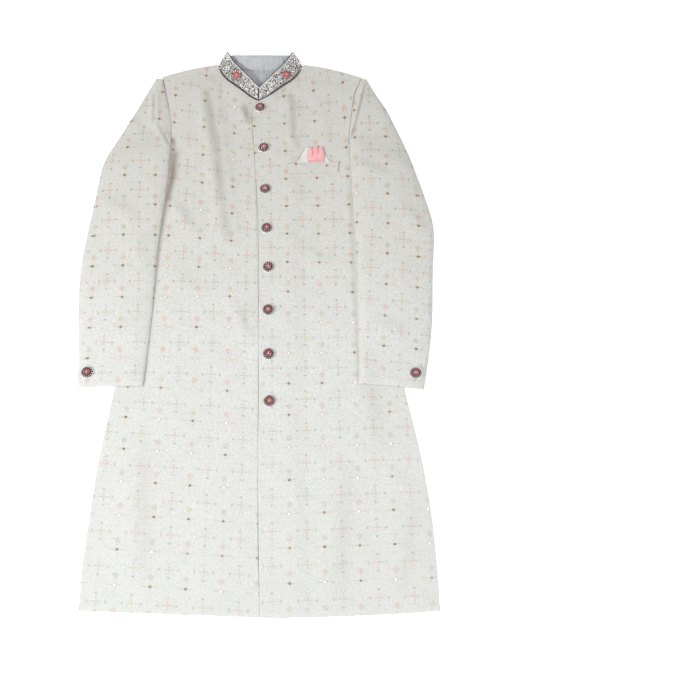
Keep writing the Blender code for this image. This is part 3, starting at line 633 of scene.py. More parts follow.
# The repeat as it lies on each piece: where its first column runs, the heights of its rows there,
# and how much a row rises towards the wearer's left
CHARTS = {
    "right_front": {
        "columns": [(0, -66), (350, -70), (950, -79), (1072, -81)],
        "rows": [(-14, -1), (45, 0), (223, 3), (340, 5), (461, 7), (586, 9), (817, 13), (1060, 17)],
        "rise": [(0, -0.06), (350, -0.065), (585, 0), (800, -0.16), (1000, -0.22)],
    },
    "left_front": {
        "columns": [(0, 52.5), (58, 51), (536, 39), (834, 28), (959, 22), (1072, 17)],
        "rows": [(-1, -1), (58, 0), (473, 7), (656, 10), (834, 13), (959, 15), (1086, 17)],
        "rise": [(0, 0.04), (350, 0.04), (536, 0), (656, 0), (834, 0.06), (960, 0.1), (1040, 0.26)],
    },
    "right_sleeve": {
        "columns": [(409, -271), (583, -276), (841, -291), (969, -292), (1070, -288)],
        "rows": [(404, -3), (463, -2), (583, 0), (841, 4), (1097, 8)],
        "rise": [(400, 0), (1070, 0)],
    },
    "left_sleeve": {
        "columns": [(409, 213), (545, 220), (672, 226), (760, 229), (1070, 222)],
        "rows": [(366, -3), (426, -2), (545, 0), (672, 2), (800, 4), (1060, 8)],
        "rise": [(409, -0.08), (700, -0.08), (900, 0.05), (1060, 0.1)],
    },
    "back": {
        "columns": [(0, -20), (1110, -50)],
        "rows": [(0, 0), (1200, 20)],
        "rise": [(0, 0), (1110, 0)],
    },
    "welt": {
        "columns": [(840, 47), (880, 47)],
        "rows": [(806, 0), (866, 1), (926, 2)],
        "rise": [(840, -0.03), (880, -0.03)],
    },
}


def chart_of(chart, x, y):
    """The repeat's column and row numbers at places on a piece."""
    off = x - read(chart["columns"], y)
    return off / REPEAT_WIDE, read(chart["rows"], y - read(chart["rise"], y) * off)


def place_of(chart, u, v):
    """The place on a piece where the repeat has these column and row numbers."""
    level = read([(b, a) for a, b in chart["rows"]], v)
    y = level
    for _ in range(8):
        y = level + read(chart["rise"], y) * u * REPEAT_WIDE
    return read(chart["columns"], y) + u * REPEAT_WIDE, y


# Creases in the laid cloth: a run from one place to the next, its half width and its height, which
# is below 0 for a trough with a soft ridge on both sides
CREASES = [
    (-138, 1040, -112, 905, 13, -2.6),
    (-112, 905, -97, 800, 13, -2.4),
    (-97, 800, -79, 705, 13, -1.7),
    (-172, 1010, -168, 900, 15, 1.2),
    (-180, 790, -148, 735, 13, -1.3),
    (38, 1028, 43, 935, 10, -1.8),
    (43, 935, 54, 905, 9, -1.0),
    (92, 1010, 104, 930, 13, 1.1),
    (-62, 1003, -52, 968, 7, -1.3),
    (-61, 574, -22, 500, 8, -1.0),
    (-44, 560, -42, 508, 9, -0.7),
    (-246, 1030, -242, 965, 5, -1.2),
    (-232, 1032, -229, 970, 5, -1.0),
    (-233, 959, -208, 911, 5, -1.5),
    (-330, 800, -262, 760, 14, -0.9),
    (-300, 990, -262, 955, 12, -0.8),
    (-300, 520, -235, 545, 16, -0.6),
    (-250, 720, -228, 650, 12, -0.6),
    (-330, 610, -282, 640, 14, -0.5),
    (186, 1051, 166, 962, 5, -1.5),
    (166, 962, 157, 931, 5, -1.3),
    (170, 882, 232, 848, 14, -1.2),
    (304, 735, 262, 790, 14, -1.0),
    (262, 520, 196, 545, 16, -0.6),
    (200, 700, 184, 640, 12, -0.6),
    (300, 640, 244, 660, 14, -0.5),
    (-215, 300, -200, 90, 24, -0.8),
    (-110, 240, -105, 60, 22, 0.7),
    (190, 480, 210, 300, 24, -0.8),
    (150, 250, 140, 40, 22, -0.7),
    (66, 330, 60, 80, 24, 0.7),
    (268, 200, 250, 60, 20, -0.6),
    (-170, 640, -120, 605, 16, -0.6),
    (60, 700, 120, 668, 16, -0.5),
]
TROUGH_RIDGE_OUT = 1.2
# How much shade is painted in a trough for each millimetre of its depth
TROUGH_SHADE = 0.16

# Painted shade along deep pressed lines and under the collar's wing: a run, its half width and how
# dark it is
PAINTED_SHADE_LINES = [
    (-233, 959, -208, 911, 1.8, 0.4),
    (-246, 1030, -242, 965, 2.5, 0.2),
    (186, 1051, 166, 962, 2.2, 0.45),
    (166, 962, 158, 931, 2.0, 0.45),
    (-60, 1003, -50, 968, 7.0, 0.5),
]
# The same on the fronts alone, in the shade of the sleeves that lie on them
SLEEVE_SHADES = [
    (-202, 925, -198, 890, 4.5, 0.85),
    (-198, 890, -198, 840, 8.5, 1.0),
    (-198, 840, -206, 790, 7.0, 1.0),
    (-206, 790, -213, 720, 5.0, 0.8),
    (-213, 720, -220, 560, 4.0, 0.7),
    (-220, 560, -226, 412, 4.0, 0.6),
    (155, 930, 156, 800, 3.5, 0.25),
    (156, 800, 162, 620, 3.5, 0.3),
    (162, 620, 171, 412, 3.5, 0.3),
]
PUCKER = 0.28
PUCKER_SIZE = 38.0
PUCKER_WAVES = 9


def run_of(row, x, y):
    """How far places are from a run, in its half widths, and how full the run is there."""
    from_x, from_y, to_x, to_y, half_width = row[:5]
    run_x, run_y = to_x - from_x, to_y - from_y
    near = ((x - from_x) * run_x + (y - from_y) * run_y) / (run_x**2 + run_y**2)
    near = np.clip(near, 0, 1)
    far = np.hypot(x - from_x - near * run_x, y - from_y - near * run_y) / half_width
    return far, 1 - 0.5 * np.abs(2 * near - 1) ** 3


def cloth_rise(x, y):
    """How far the creases and puckers lift all the cloth at places, and how much shade is painted
    on it there.
    """
    rise = np.zeros_like(x)
    shade = np.zeros_like(x)
    for row in CREASES:
        far, full = run_of(row, x, y)
        height = row[5]
        if height > 0:
            rise += height * full * np.exp(-(far**2))
        else:
            rise -= height * full * np.exp(-1.5 * (far - TROUGH_RIDGE_OUT) ** 2)
            # Painted shade in the trough
            shade -= height * full * np.exp(-2 * far**2) * TROUGH_SHADE
    # Painted shade along the pressed lines
    for row in PAINTED_SHADE_LINES:
        far, full = run_of(row, x, y)
        shade += row[5] * full * np.exp(-(far**2))
    random = np.random.default_rng(SEED)
    waves = np.zeros_like(x)
    for _ in range(PUCKER_WAVES):
        turn, phase = random.uniform(0, 2 * math.pi, 2)
        size = PUCKER_SIZE * random.uniform(0.7, 2.6)
        waves += np.sin((x * math.cos(turn) + y * math.sin(turn)) * 2 * math.pi / size + phase)
    rise += PUCKER * np.maximum(waves / 3 + 1, 0)
    return rise, np.clip(shade, 0, 0.7)


# ---------------------------------------------------------------- cloth pieces

RIM_TURN = 0.7
GRID_STEP = 26.0
WALL = 2.5
SLEEVE_BAND = 20
# How far the back lining reaches up under the collar, from where on and over what height
NECK_REACH, NECK_LINE, NECK_HEIGHT = 5.0, 1072, 12


def shell(node, name, material, chart=None, levels=2, edge=0.9, flat=False):
    """A thin cloth shell on a solid's own form: merged, refined, creased and with soft edges."""
    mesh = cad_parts[node].data.copy()
    work = bmesh.new()
    work.from_mesh(mesh)
    bmesh.ops.remove_doubles(work, verts=work.verts[:], dist=1e-6)
    if flat:
        lay = {"verts": work.verts[:], "edges": work.edges[:]}
        bmesh.ops.dissolve_limit(work, angle_limit=0.02, **lay)
        low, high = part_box(node)
        for axis in (0, 1):
            for place in np.arange(low[axis] + GRID_STEP * MM, high[axis], GRID_STEP * MM):
                where, across = Vector(), Vector()
                where[axis], across[axis] = place, 1
                parts = work.verts[:] + work.edges[:] + work.faces[:]
                bmesh.ops.bisect_plane(work, geom=parts, plane_co=where, plane_no=across)
    else:
        turn = {"angle_face_threshold": 0.6, "angle_shape_threshold": math.pi}
        bmesh.ops.join_triangles(work, faces=work.faces[:], **turn)
    sharp = work.edges.layers.float.new("crease_edge")
    for rim in work.edges:
        rim[sharp] = 1.0 if rim.calc_face_angle(0.0) > RIM_TURN else 0.0
    work.to_mesh(mesh)
    work.free()
    thing = piece(name, mesh, material)
    refine = thing.modifiers.new("refine", "SUBSURF")
    refine.levels = refine.render_levels = levels
    settle(thing)
    points = points_of(thing.data)
    x, y, z = points.T
    rise, shade = cloth_rise(x, y)
    # Painted shadow of the sleeves on the fronts
    if node in ("right_front", "left_front"):
        for row in SLEEVE_SHADES:
            far, _ = run_of(row, x, y)
            shade = np.maximum(shade, row[5] * np.exp(-(far**2)))
    # The painted shade, which the brocade reads
    write_points(thing.data, FOLD_SHADE, "FLOAT", shade)
    if chart:
        across, along = chart_of(CHARTS[chart], x, y)
        if "sleeve" in node:
            band = np.floor(y / SLEEVE_BAND).astype(int)
            band -= band.min()
            crown = np.zeros(band.max() + 1)
            np.maximum.at(crown, band, z)
            drop = np.maximum(crown[band] - z - WALL, 0)
            across = across + np.sign(x - (x.min() + x.max()) / 2) * drop / REPEAT_WIDE
        write_chart(thing.data, across, along)
    if node == "back_panel":
        rise = 0 * rise
    if node == "back_lining":
        points[:, 1] += NECK_REACH * np.clip((y - NECK_LINE) / NECK_HEIGHT, 0, 1)
    points[:, 2] += rise
    move_points(thing.data, points)
    return soften(thing, edge)


PANELS = [
    ("back_panel", "back", True),
    ("right_front", "right_front", False),
    ("left_front", "left_front", False),
    ("right_under_sleeve", "right_sleeve", False),
    ("left_under_sleeve", "left_sleeve", False),
    ("right_top_sleeve", "right_sleeve", False),
    ("left_top_sleeve", "left_sleeve", False),
]
cloth = {}
for node, chart, flat in PANELS:
    cloth[node] = shell(node, node + "_cloth", BROCADE, chart, levels=1 if flat else 2, flat=flat)
    seat(cloth[node], "ivory_brocade", node)

cloth["pocket_welt"] = shell("pocket_welt", "pocket_welt_cloth", BROCADE, "welt", 3, 0.5)
seat(cloth["pocket_welt"], "ivory_brocade", "pocket_welt")
for node, name, material, slot, edge, flat in [
    ("back_lining", "back_lining_cloth", LINING, "lavender_lining", 0.3, True),
    ("collar_lining", "collar_lining_cloth", LINING, "lavender_lining", 0.3, False),
    ("neck_tab", "neck_tab_cloth", LINING, "white_net", 0.2, True),
    ("pocket_net", "pocket_net_cloth", NET, "white_net", 0.2, False),
    ("pocket_square", "pocket_square_cloth", PINK, "pink_silk", 0.3, False),
]:
    cloth[node] = shell(node, name, material, None, 2, edge, flat)
    seat(cloth[node], slot, node)


# ---------------------------------------------------------------- small things that repeat


def growing_threads():
    """Round threads or wires along a mesh's lines."""
    tree = Growth("threads", Radius=0.0005, Sides=6, Finish=None)
    line = tree.add("GeometryNodeMeshToCurve", {}, {"Mesh": tree.given("Geometry")})
    ring = {"Resolution": tree.given("Sides"), "Radius": tree.given("Radius")}
    ring = tree.add("GeometryNodeCurvePrimitiveCircle", {}, ring)
    tube = {"Curve": line, "Profile Curve": ring, "Fill Caps": True}
    tree.end(tree.add("GeometryNodeCurveToMesh", {}, tube), True)
    return tree


def growing_studs(name, solid, smooth_shaded):
    """A small solid on each of a mesh's points, upright on its facing and turned along its run."""
    sizes = {"Size": 0.001, "Length": 1.0, "Height": 1.0, "Lean": 0.0, "Vary": 0.0}
    tree = Growth(name, **sizes, Seed=0, Finish=None)
    kind, shape = solid
    bead = tree.add(kind, {}, shape)
    vector = {"data_type": "FLOAT_VECTOR"}
    facing = tree.add("GeometryNodeInputNamedAttribute", vector, {"Name": "facing"})
    run = tree.add("GeometryNodeInputNamedAttribute", vector, {"Name": "run"})
    up = tree.add("FunctionNodeAlignRotationToVector", {"axis": "Z"}, {"Vector": facing})
    turned = {"Rotation": up, "Vector": run}
    turned = tree.add("FunctionNodeAlignRotationToVector", {"axis": "X", "pivot_axis": "Z"}, turned)
    lean = tree.given("Lean")
    most = tree.add("ShaderNodeCombineXYZ", {}, [lean, lean])
    least = tree.add("ShaderNodeCombineXYZ", {}, [lean * -1.0, lean * -1.0])
    swing = tree.add("FunctionNodeRandomValue", vector, {0: least, 1: most, 8: tree.given("Seed")})
    swing = tree.add("FunctionNodeEulerToRotation", {}, [swing])
    turned = tree.add("FunctionNodeRotateRotation", {"rotation_space": "LOCAL"}, [turned, swing])
    vary = tree.given("Vary")
    numbers = {2: 1.0 - vary, 3: vary + 1.0, 8: tree.given("Seed")}
    size = tree.add("FunctionNodeRandomValue", {"data_type": "FLOAT"}, numbers, 1)
    size = size * tree.given("Size")
    scale = [size * tree.given("Length"), size, size * tree.given("Height")]
    scale = tree.add("ShaderNodeCombineXYZ", {}, scale)
    placed = {"Points": tree.given("Geometry"), "Instance": bead, "Rotation": turned}
    placed = tree.add("GeometryNodeInstanceOnPoints", {}, {**placed, "Scale": scale})
    tree.end(placed, smooth_shaded)
    return tree


def cone(sides, top, bottom, depth):
    """A short cone with its end cut off."""
    shape = {"Vertices": sides, "Radius Top": top, "Radius Bottom": bottom, "Depth": depth}
    return "GeometryNodeMeshCone", shape


BEAD = ("GeometryNodeMeshUVSphere", {"Segments": 8, "Rings": 5, "Radius": 1.0})
THREADS = growing_threads()
BEADS = growing_studs("beads", BEAD, True)
CUPS = growing_studs("cup_sequins", cone(10, 1.0, 0.5, 0.3), False)
GEMS = growing_studs("cut_stones", cone(8, 0.5, 1.0, 0.8), False)
PLY_STEPS = 8


def threads(name, lines, radius, sides, finish):
    """Round threads through the points of some open lines."""
    edges, start = [], 0
    for line in lines:
        edges += [(k, k + 1) for k in range(start, start + len(line) - 1)]
        start += len(line)
    mesh = mesh_of(name, np.concatenate(lines), edges)
    return THREADS.grow(mesh, Radius=radius * MM, Sides=sides, Finish=finish)


def studs(tree, name, spots, size, finish, **shape):
    """A small solid on each spot, which is a place, its facing and its run."""
    places, facings, runs = spots
    mesh = mesh_of(name, np.array(places))
    write_points(mesh, "facing", "FLOAT_VECTOR", np.array(facings))
    write_points(mesh, "run", "FLOAT_VECTOR", np.array(runs))
    return tree.grow(mesh, Size=size * MM, Seed=SEED, Finish=finish, **shape)


def along_line(line, step):
    """Places every step along a line, and the line's run at each."""
    lengths = reach_of(line)
    at = np.arange(step / 2, lengths[-1], step)
    places = np.stack([np.interp(at, lengths, c) for c in line.T], axis=1)
    return places, unit(np.gradient(places, axis=0))


def twisted(line, facing, radius, lay):
    """Two plies that wind round a line, one turn for each lay."""
    places, run = along_line(line, lay / PLY_STEPS)
    spots = np.linspace(0, len(facing) - 1, len(places)).round().astype(int)
    side = unit(np.cross(run, facing[spots]))
    up = np.cross(side, run)
    turn = np.arange(len(places))[:, None] * (2 * math.pi / PLY_STEPS)
    wound = radius * (np.cos(turn) * side + np.sin(turn) * up)
    return [places + wound, places - wound]


# ---------------------------------------------------------------- stand collar

NECK_X = -31.0
COLLAR_CLOTH = 2.4
COLLAR_BULGE = 1.2
COLLAR_LOWEST = 0.35
COLLAR_FOLD_OUT = (0.78, 0.62)
COLLAR_STEP = 3.0
COLLAR_FOLD_STEPS = 13
COLLAR_COLUMNS = 19

# Half the collar, from its front to its side fold and from there to its middle back: out, up and
# height of its seam edge, then of its top edge
COLLAR_FRONT = [
    (0.5, 1014.8, 9.6, 0.5, 1040.5, 15.0),
    (16.8, 1024.4, 9.4, 13.0, 1055.0, 16.4),
    (33.4, 1039.3, 9.2, 28.0, 1072.0, 17.6),
    (50.2, 1052.9, 9.0, 42.0, 1086.5, 18.6),
    (67.7, 1066.4, 8.6, 54.0, 1101.0, 19.4),
    (78.4, 1083.4, 8.2, 62.0, 1114.0, 19.8),
    (82.6, 1095.0, 7.8, 65.0, 1119.8, 19.8),
]
COLLAR_BACK = [
    (82.6, 1095.6, 2.2, 65.0, 1119.2, 11.8),
    (68.0, 1092.6, 2.0, 51.0, 1117.0, 15.5),
    (45.0, 1090.3, 2.0, 34.0, 1114.0, 19.0),
    (22.0, 1089.3, 2.0, 17.0, 1112.5, 21.0),
    (0, 1089.0, 2.0, 0, 1112.0, 21.6),
]


def folded_section(upper, lower, turn):
    """A section of the collar's side fold, at a turn from its upper layer down to its lower one."""
    section = []
    for seam_or_top in (slice(0, 3), slice(3, 6)):
        a, b = upper[seam_or_top], lower[seam_or_top]
        radius = (a[2] - b[2]) / 2
        place = a + (1 - math.sin(turn)) / 2 * (b - a)
        bulge = radius * math.cos(turn)
        section += [place[0] + COLLAR_FOLD_OUT[0] * bulge, place[1] + COLLAR_FOLD_OUT[1] * bulge]
        section.append((a[2] + b[2]) / 2 + radius * math.sin(turn))
    return section


def collar_surface():
    """Places on the collar's middle surface and their facings, from its right end to its left."""
    front, back = np.array(COLLAR_FRONT), np.array(COLLAR_BACK, float)
    reach = reach_of(front[:, :2])
    along = np.linspace(0, reach[-1], int(reach[-1] / COLLAR_STEP) + 1)
    laid = np.stack([smooth(reach, c, along) for c in front.T], axis=1)
    places = np.arange(len(back), dtype=float)
    between = np.linspace(0, places[-1], 6 * len(back) - 5)
    rear = np.stack([smooth(places, c, between) for c in back.T], axis=1)
    turns = np.linspace(math.pi / 2, -math.pi / 2, COLLAR_FOLD_STEPS + 2)[1:-1]
    folded = [folded_section(laid[-1], rear[0], turn) for turn in turns]
    half = np.concatenate([laid, folded, rear])
    out = np.array((1, 0, 0, 1, 0, 0))
    ring = NECK_X * out + np.concatenate([half * (1 - 2 * out), half[-2::-1]])
    across = np.linspace(0, 1, COLLAR_COLUMNS)
    grid = ring[:, None, :3] + across[None, :, None] * (ring[:, 3:] - ring[:, :3])[:, None]
    facing = unit(np.cross(np.gradient(grid, axis=1), np.gradient(grid, axis=0)))
    if facing[9, 9, 2] < 0:
        facing = -facing
    grid = grid + facing * (COLLAR_BULGE * 4 * across * (1 - across))[None, :, None]
    return grid, facing, len(laid)


def cloth_wall(name, outer, inner):
    """A closed wall between two grids of places."""
    rows, columns = outer.shape[:2]
    places = np.concatenate([outer.reshape(-1, 3), inner.reshape(-1, 3)])
    far = rows * columns

    def at(i, j, side=0):
        return side * far + i * columns + j

    faces = []
    for i in range(rows - 1):
        for j in range(columns - 1):
            faces.append((at(i, j), at(i + 1, j), at(i + 1, j + 1), at(i, j + 1)))
            faces.append((at(i, j, 1), at(i, j + 1, 1), at(i + 1, j + 1, 1), at(i + 1, j, 1)))
    for i in range(rows - 1):
        for j in (0, columns - 1):
            faces.append((at(i, j), at(i, j, 1), at(i + 1, j, 1), at(i + 1, j)))
    for j in range(columns - 1):
        for i in (0, rows - 1):
            faces.append((at(i, j), at(i, j + 1), at(i, j + 1, 1), at(i, j, 1)))
    mesh = mesh_of(name, places, faces=faces)
    work = bmesh.new()
    work.from_mesh(mesh)
    bmesh.ops.recalc_face_normals(work, faces=work.faces[:])
    work.to_mesh(mesh)
    work.free()
    return mesh


collar_grid, collar_facing, wing_rows = collar_surface()
collar_outside = collar_grid + collar_facing * COLLAR_CLOTH / 2
collar_outside[:, :, 2] = np.maximum(collar_outside[:, :, 2], COLLAR_LOWEST)
collar_reach = reach_of(collar_grid[:, COLLAR_COLUMNS // 2])
collar_heights = np.linalg.norm(collar_grid[:, -1] - collar_grid[:, 0], axis=1)
collar_length = collar_reach[-1]
wing_length = collar_reach[wing_rows - 1]


def on_collar(along, across, lift):
    """Places on the collar's outside and their facings, at lengths along and shares across it."""
    row = np.interp(along, collar_reach, np.arange(len(collar_reach)))
    column = np.clip(across, 0, 1) * (COLLAR_COLUMNS - 1)
    i = np.minimum(row.astype(int), len(collar_reach) - 2)
    j = np.minimum(column.astype(int), COLLAR_COLUMNS - 2)
    a, b = (row - i)[:, None], (column - j)[:, None]
    found = []
    for grid in (collar_outside, collar_facing):
        near = grid[i, j] * (1 - b) + grid[i, j + 1] * b
        far = grid[i + 1, j] * (1 - b) + grid[i + 1, j + 1] * b
        found.append(near * (1 - a) + far * a)
    place, facing = found
    return place + facing * lift, facing


collar_mesh = cloth_wall(
    "collar_band", collar_outside, collar_grid - collar_facing * COLLAR_CLOTH / 2
)
chart_rows = np.repeat(collar_reach, COLLAR_COLUMNS)
chart_columns = np.outer(collar_heights, np.linspace(0, 1, COLLAR_COLUMNS)).ravel()
write_chart(collar_mesh, np.tile(chart_rows, 2), np.tile(chart_columns, 2))
collar_band = piece("collar_band", collar_mesh, EMBROIDERY, LINING)
wall_faces = 2 * (len(collar_reach) - 1) * (COLLAR_COLUMNS - 1)
sides = np.zeros(len(collar_mesh.polygons), int)
sides[1:wall_faces:2] = 1
collar_mesh.polygons.foreach_set("material_index", sides)
seat(soften(collar_band, 0.7), "silver_embroidery", "collar")

# Cords: dark on the seam edge and on the front ends, silver and dark on the top edge
CORD_RADIUS = 0.42
CORD_LAY = 3.4
CORD_POINTS = 120
CORD_PLACES = [(0.0, 0.0, "dark"), (1.0, -0.2, "dark"), (0.94, 0.4, "silver")]
WING_OVER = 8
wing_end, wing_start = wing_length + WING_OVER, collar_length - wing_length - WING_OVER
wings = [(0.0, wing_end), (wing_start, collar_length)]
lines = {"dark": [], "silver": []}
for start, end in wings:
    along = np.linspace(start, end, CORD_POINTS)
    for share, lift, tone in CORD_PLACES:
        line, facing = on_collar(along, np.full(CORD_POINTS, share), lift)
        lines[tone] += twisted(line, facing, CORD_RADIUS, CORD_LAY)
for end, tone in ((0.4, "dark"), (collar_length - 0.8, "silver")):
    across = np.linspace(0, 1, CORD_POINTS)
    line, facing = on_collar(np.full(CORD_POINTS, end), across, 0.1)
    lines[tone] += twisted(line, facing, CORD_RADIUS * 0.8, CORD_LAY)
rear = np.linspace(wing_end, wing_start, CORD_POINTS)
rear_line, _ = on_collar(rear, np.ones(CORD_POINTS), 0.0)

# Scrolls: curls in three rows on each wing, dark with a silver thread beside
FLOWER_SPOTS = {"right": (-79.0, 1069.5), "left": (23.5, 1072.0)}
CURL_ROWS = (0.19, 0.5, 0.81)
CURL_STEP = 7.8
CURL_RADIUS = 3.9
CURL_TURNS = 1.35
CURL_POINTS = 22
CURL_CLOSES = 0.72
CURL_LIFT = 0.25
CURL_ROSE_ROOM = 7.0
random = np.random.default_rng(SEED + 1)
flower_places = np.array(list(FLOWER_SPOTS.values()))


def clear_of_flowers(places, room):
    far = np.linalg.norm(places[:, None, :2] - flower_places[None], axis=2)
    return far.min(axis=1) > room


for start, end in wings:
    for k, share in enumerate(CURL_ROWS):
        for middle in np.arange(start + 5 + k * CURL_STEP / 3, end - 3, CURL_STEP):
            height = np.interp(middle, collar_reach, collar_heights)
            hand = random.choice((-1, 1))
            begin = random.uniform(0, 2 * math.pi)
            bend = np.linspace(0, 1, CURL_POINTS)
            for shrink, tone in ((1.0, "dark"), (0.76, "silver")):
                radius = CURL_RADIUS * shrink * (1 - CURL_CLOSES * bend) * random.uniform(0.9, 1.1)
                turn = begin + hand * bend * 2 * math.pi * CURL_TURNS
                along = np.clip(middle + radius * np.cos(turn), 0.5, collar_length - 0.5)
                across = np.clip(share + radius * np.sin(turn) / height, 0.03, 0.97)
                line, _ = on_collar(along, across, CURL_LIFT)
                if clear_of_flowers(line, CURL_ROSE_ROOM).all():
                    lines[tone].append(line)

dark_work = threads("dark_work", lines["dark"], 0.54, 5, DARK_CORD)
silver_work = threads("silver_work", lines["silver"], 0.52, 5, SILVER)
rear_edge = threads("rear_edge", [rear_line], 0.6, 6, EDGE_GREY)

# Beads: a row beside both cords of each wing, and many strewn between the curls
BEAD_STEP = 3.1
BEAD_ROWS = (0.055, 0.885)
BEAD_LIFT = 0.45
BEAD_ROSE_ROOM = 7.5
STREWN_BEADS = 330
bead_along, bead_across = [], []
for start, end in wings:
    row = np.arange(start + 1.5, end, BEAD_STEP)
    bead_along += [row, row, random.uniform(start + 2, end - 2, STREWN_BEADS)]
    strewn = random.uniform(0.1, 0.85, STREWN_BEADS)
    bead_across += [np.full(len(row), share) for share in BEAD_ROWS] + [strewn]
places, facings = on_collar(np.concatenate(bead_along), np.concatenate(bead_across), BEAD_LIFT)
kept = clear_of_flowers(places, BEAD_ROSE_ROOM)
bead_spots = places[kept], facings[kept], np.tile((1, 0, 0), (kept.sum(), 1))
beads = studs(BEADS, "collar_beads", bead_spots, 0.92, RIM, Vary=0.35)
collar_work = piece("collar_embroidery", joined("collar_work", dark_work, silver_work, beads))
seat(collar_work, "silver_embroidery")
rear_edging = seat(piece("collar_rear_edging", rear_edge), "silver_embroidery")

# Rose on each wing: two rings of petals, a beaded eye and dark leaves round it
FLOWER_RADIUS = 9.0
FLOWER_TURNS = 60
FLOWER_RINGS = 14
LEAF_OUT = 9.6
LEAF_TURNS = (0.3, 1.0, 2.4, 3.3, 4.2, 5.4)


def rose(side):
    """The rose of one side, over its node."""
    spot = FLOWER_SPOTS[side]
    gap = np.hypot(*(collar_outside[:, :, :2] - spot).transpose(2, 0, 1))
    gap[collar_facing[:, :, 2] < 0.2] = 1e3
    row, column = np.unravel_index(gap.argmin(), gap.shape)
    facing = collar_facing[row, column]
    middle = collar_outside[row, column] + facing * 0.4
    run = collar_outside[row + 1, column] - collar_outside[row - 1, column]
    run = unit(run - facing * run.dot(facing))
    frame_of = np.stack([run, np.cross(facing, run), facing])
    turn = np.linspace(0, 2 * math.pi, FLOWER_TURNS, endpoint=False)[None, :]
    share = np.linspace(1, 0.02, FLOWER_RINGS)[:, None]
    petals = np.abs(np.cos(2.5 * turn)) ** 0.7
    radius = FLOWER_RADIUS * share * (0.76 + 0.24 * petals)
    outer = (1 - share**6) * (1.2 + 0.9 * petals * share)
    inner = np.clip(1 - (share / 0.58) ** 6, 0, 1) * (0.9 + 0.7 * (1 - petals))
    curl = 0.35 * np.cos(15 * turn + 7 * share) * share
    height = 0.25 + outer + inner + curl * (1 - share**4)
    top = np.stack([radius * np.cos(turn), radius * np.sin(turn), height], axis=2)
    places = np.concatenate([top.reshape(-1, 3), [(0, 0, 2.9)], top[0] * (1, 1, 0), [(0, 0, 0)]])
    ring = FLOWER_TURNS
    crown, low = FLOWER_RINGS * ring, FLOWER_RINGS * ring + 1
    faces = []
    for j in range(ring):
        k = (j + 1) % ring
        for i in range(FLOWER_RINGS - 1):
            faces.append((i * ring + j, i * ring + k, (i + 1) * ring + k, (i + 1) * ring + j))
        faces.append(((FLOWER_RINGS - 1) * ring + j, (FLOWER_RINGS - 1) * ring + k, crown))
        faces.append((low + k, low + j, low + ring))
        faces.append((low + j, low + k, k, j))
    mesh = mesh_of("rose_" + side, places @ frame_of + middle, faces=faces)
    mesh.materials.append(ROSE)
    mesh.shade_smooth()
    eye = [(0, 0, 3.2)] + [(1.5 * math.cos(a), 1.5 * math.sin(a), 3.0) for a in np.arange(6) * 1.05]
    eye = np.array(eye) @ frame_of + middle
    eye = eye, np.tile(facing, (len(eye), 1)), np.tile(run, (len(eye), 1))
    eye = studs(BEADS, "eye", eye, 0.55, SILVER, Vary=0.2)
    around = np.array(LEAF_TURNS)
    out = np.stack([np.cos(around), np.sin(around), 0 * around], axis=1)
    leaves = (out * LEAF_OUT + (0, 0, 0.3)) @ frame_of + middle
    leaves = leaves, np.tile(facing, (len(around), 1)), out @ frame_of
    leaves = studs(BEADS, "leaves", leaves, 1.2, LEAF, Length=2.3, Height=0.45, Vary=0.25)
    node = "collar_flower_" + side
    return seat(piece(node + "_rose", joined(node, mesh, eye, leaves)), "rose_applique", node)


roses = [rose(side) for side in FLOWER_SPOTS]


# ---------------------------------------------------------------- jewelled buttons

# From the foot outwards and up: radius and height of the turned form, and the finish of the band
# that starts there
BUTTON_BANDS = [
    (9.6, 0.0, 0), (11.7, 0.25, 0), (12.2, 0.9, 0), (12.1, 1.6, 0), (11.5, 1.95, 0),
    (10.9, 1.7, 1), (10.6, 1.5, 1), (10.4, 2.0, 1), (9.4, 2.6, 1), (8.0, 2.9, 1),
    (7.0, 2.7, 1), (6.7, 3.2, 1), (6.1, 4.0, 2), (4.9, 4.4, 2), (3.8, 4.2, 1),
    (3.3, 3.9, 1), (2.6, 4.2, 1), (2.0, 4.8, 1), (0.0, 5.0, 1),
]
BUTTON_TURNS = 40
BUTTON_SPIN = 0.37


def ring_of_spots(count, radius, height, lean):
    """Spots round a button's middle whose facings lean outwards."""
    turn = np.arange(count) * (2 * math.pi / count)
    out = np.stack([np.cos(turn), np.sin(turn), 0 * turn], axis=1)
    facings = out * math.sin(lean) + (0, 0, math.cos(lean))
    places = out * radius + (0, 0, height)
    return places - HEM_MIDDLE, facings, np.cross(out, (0, 0, 1))


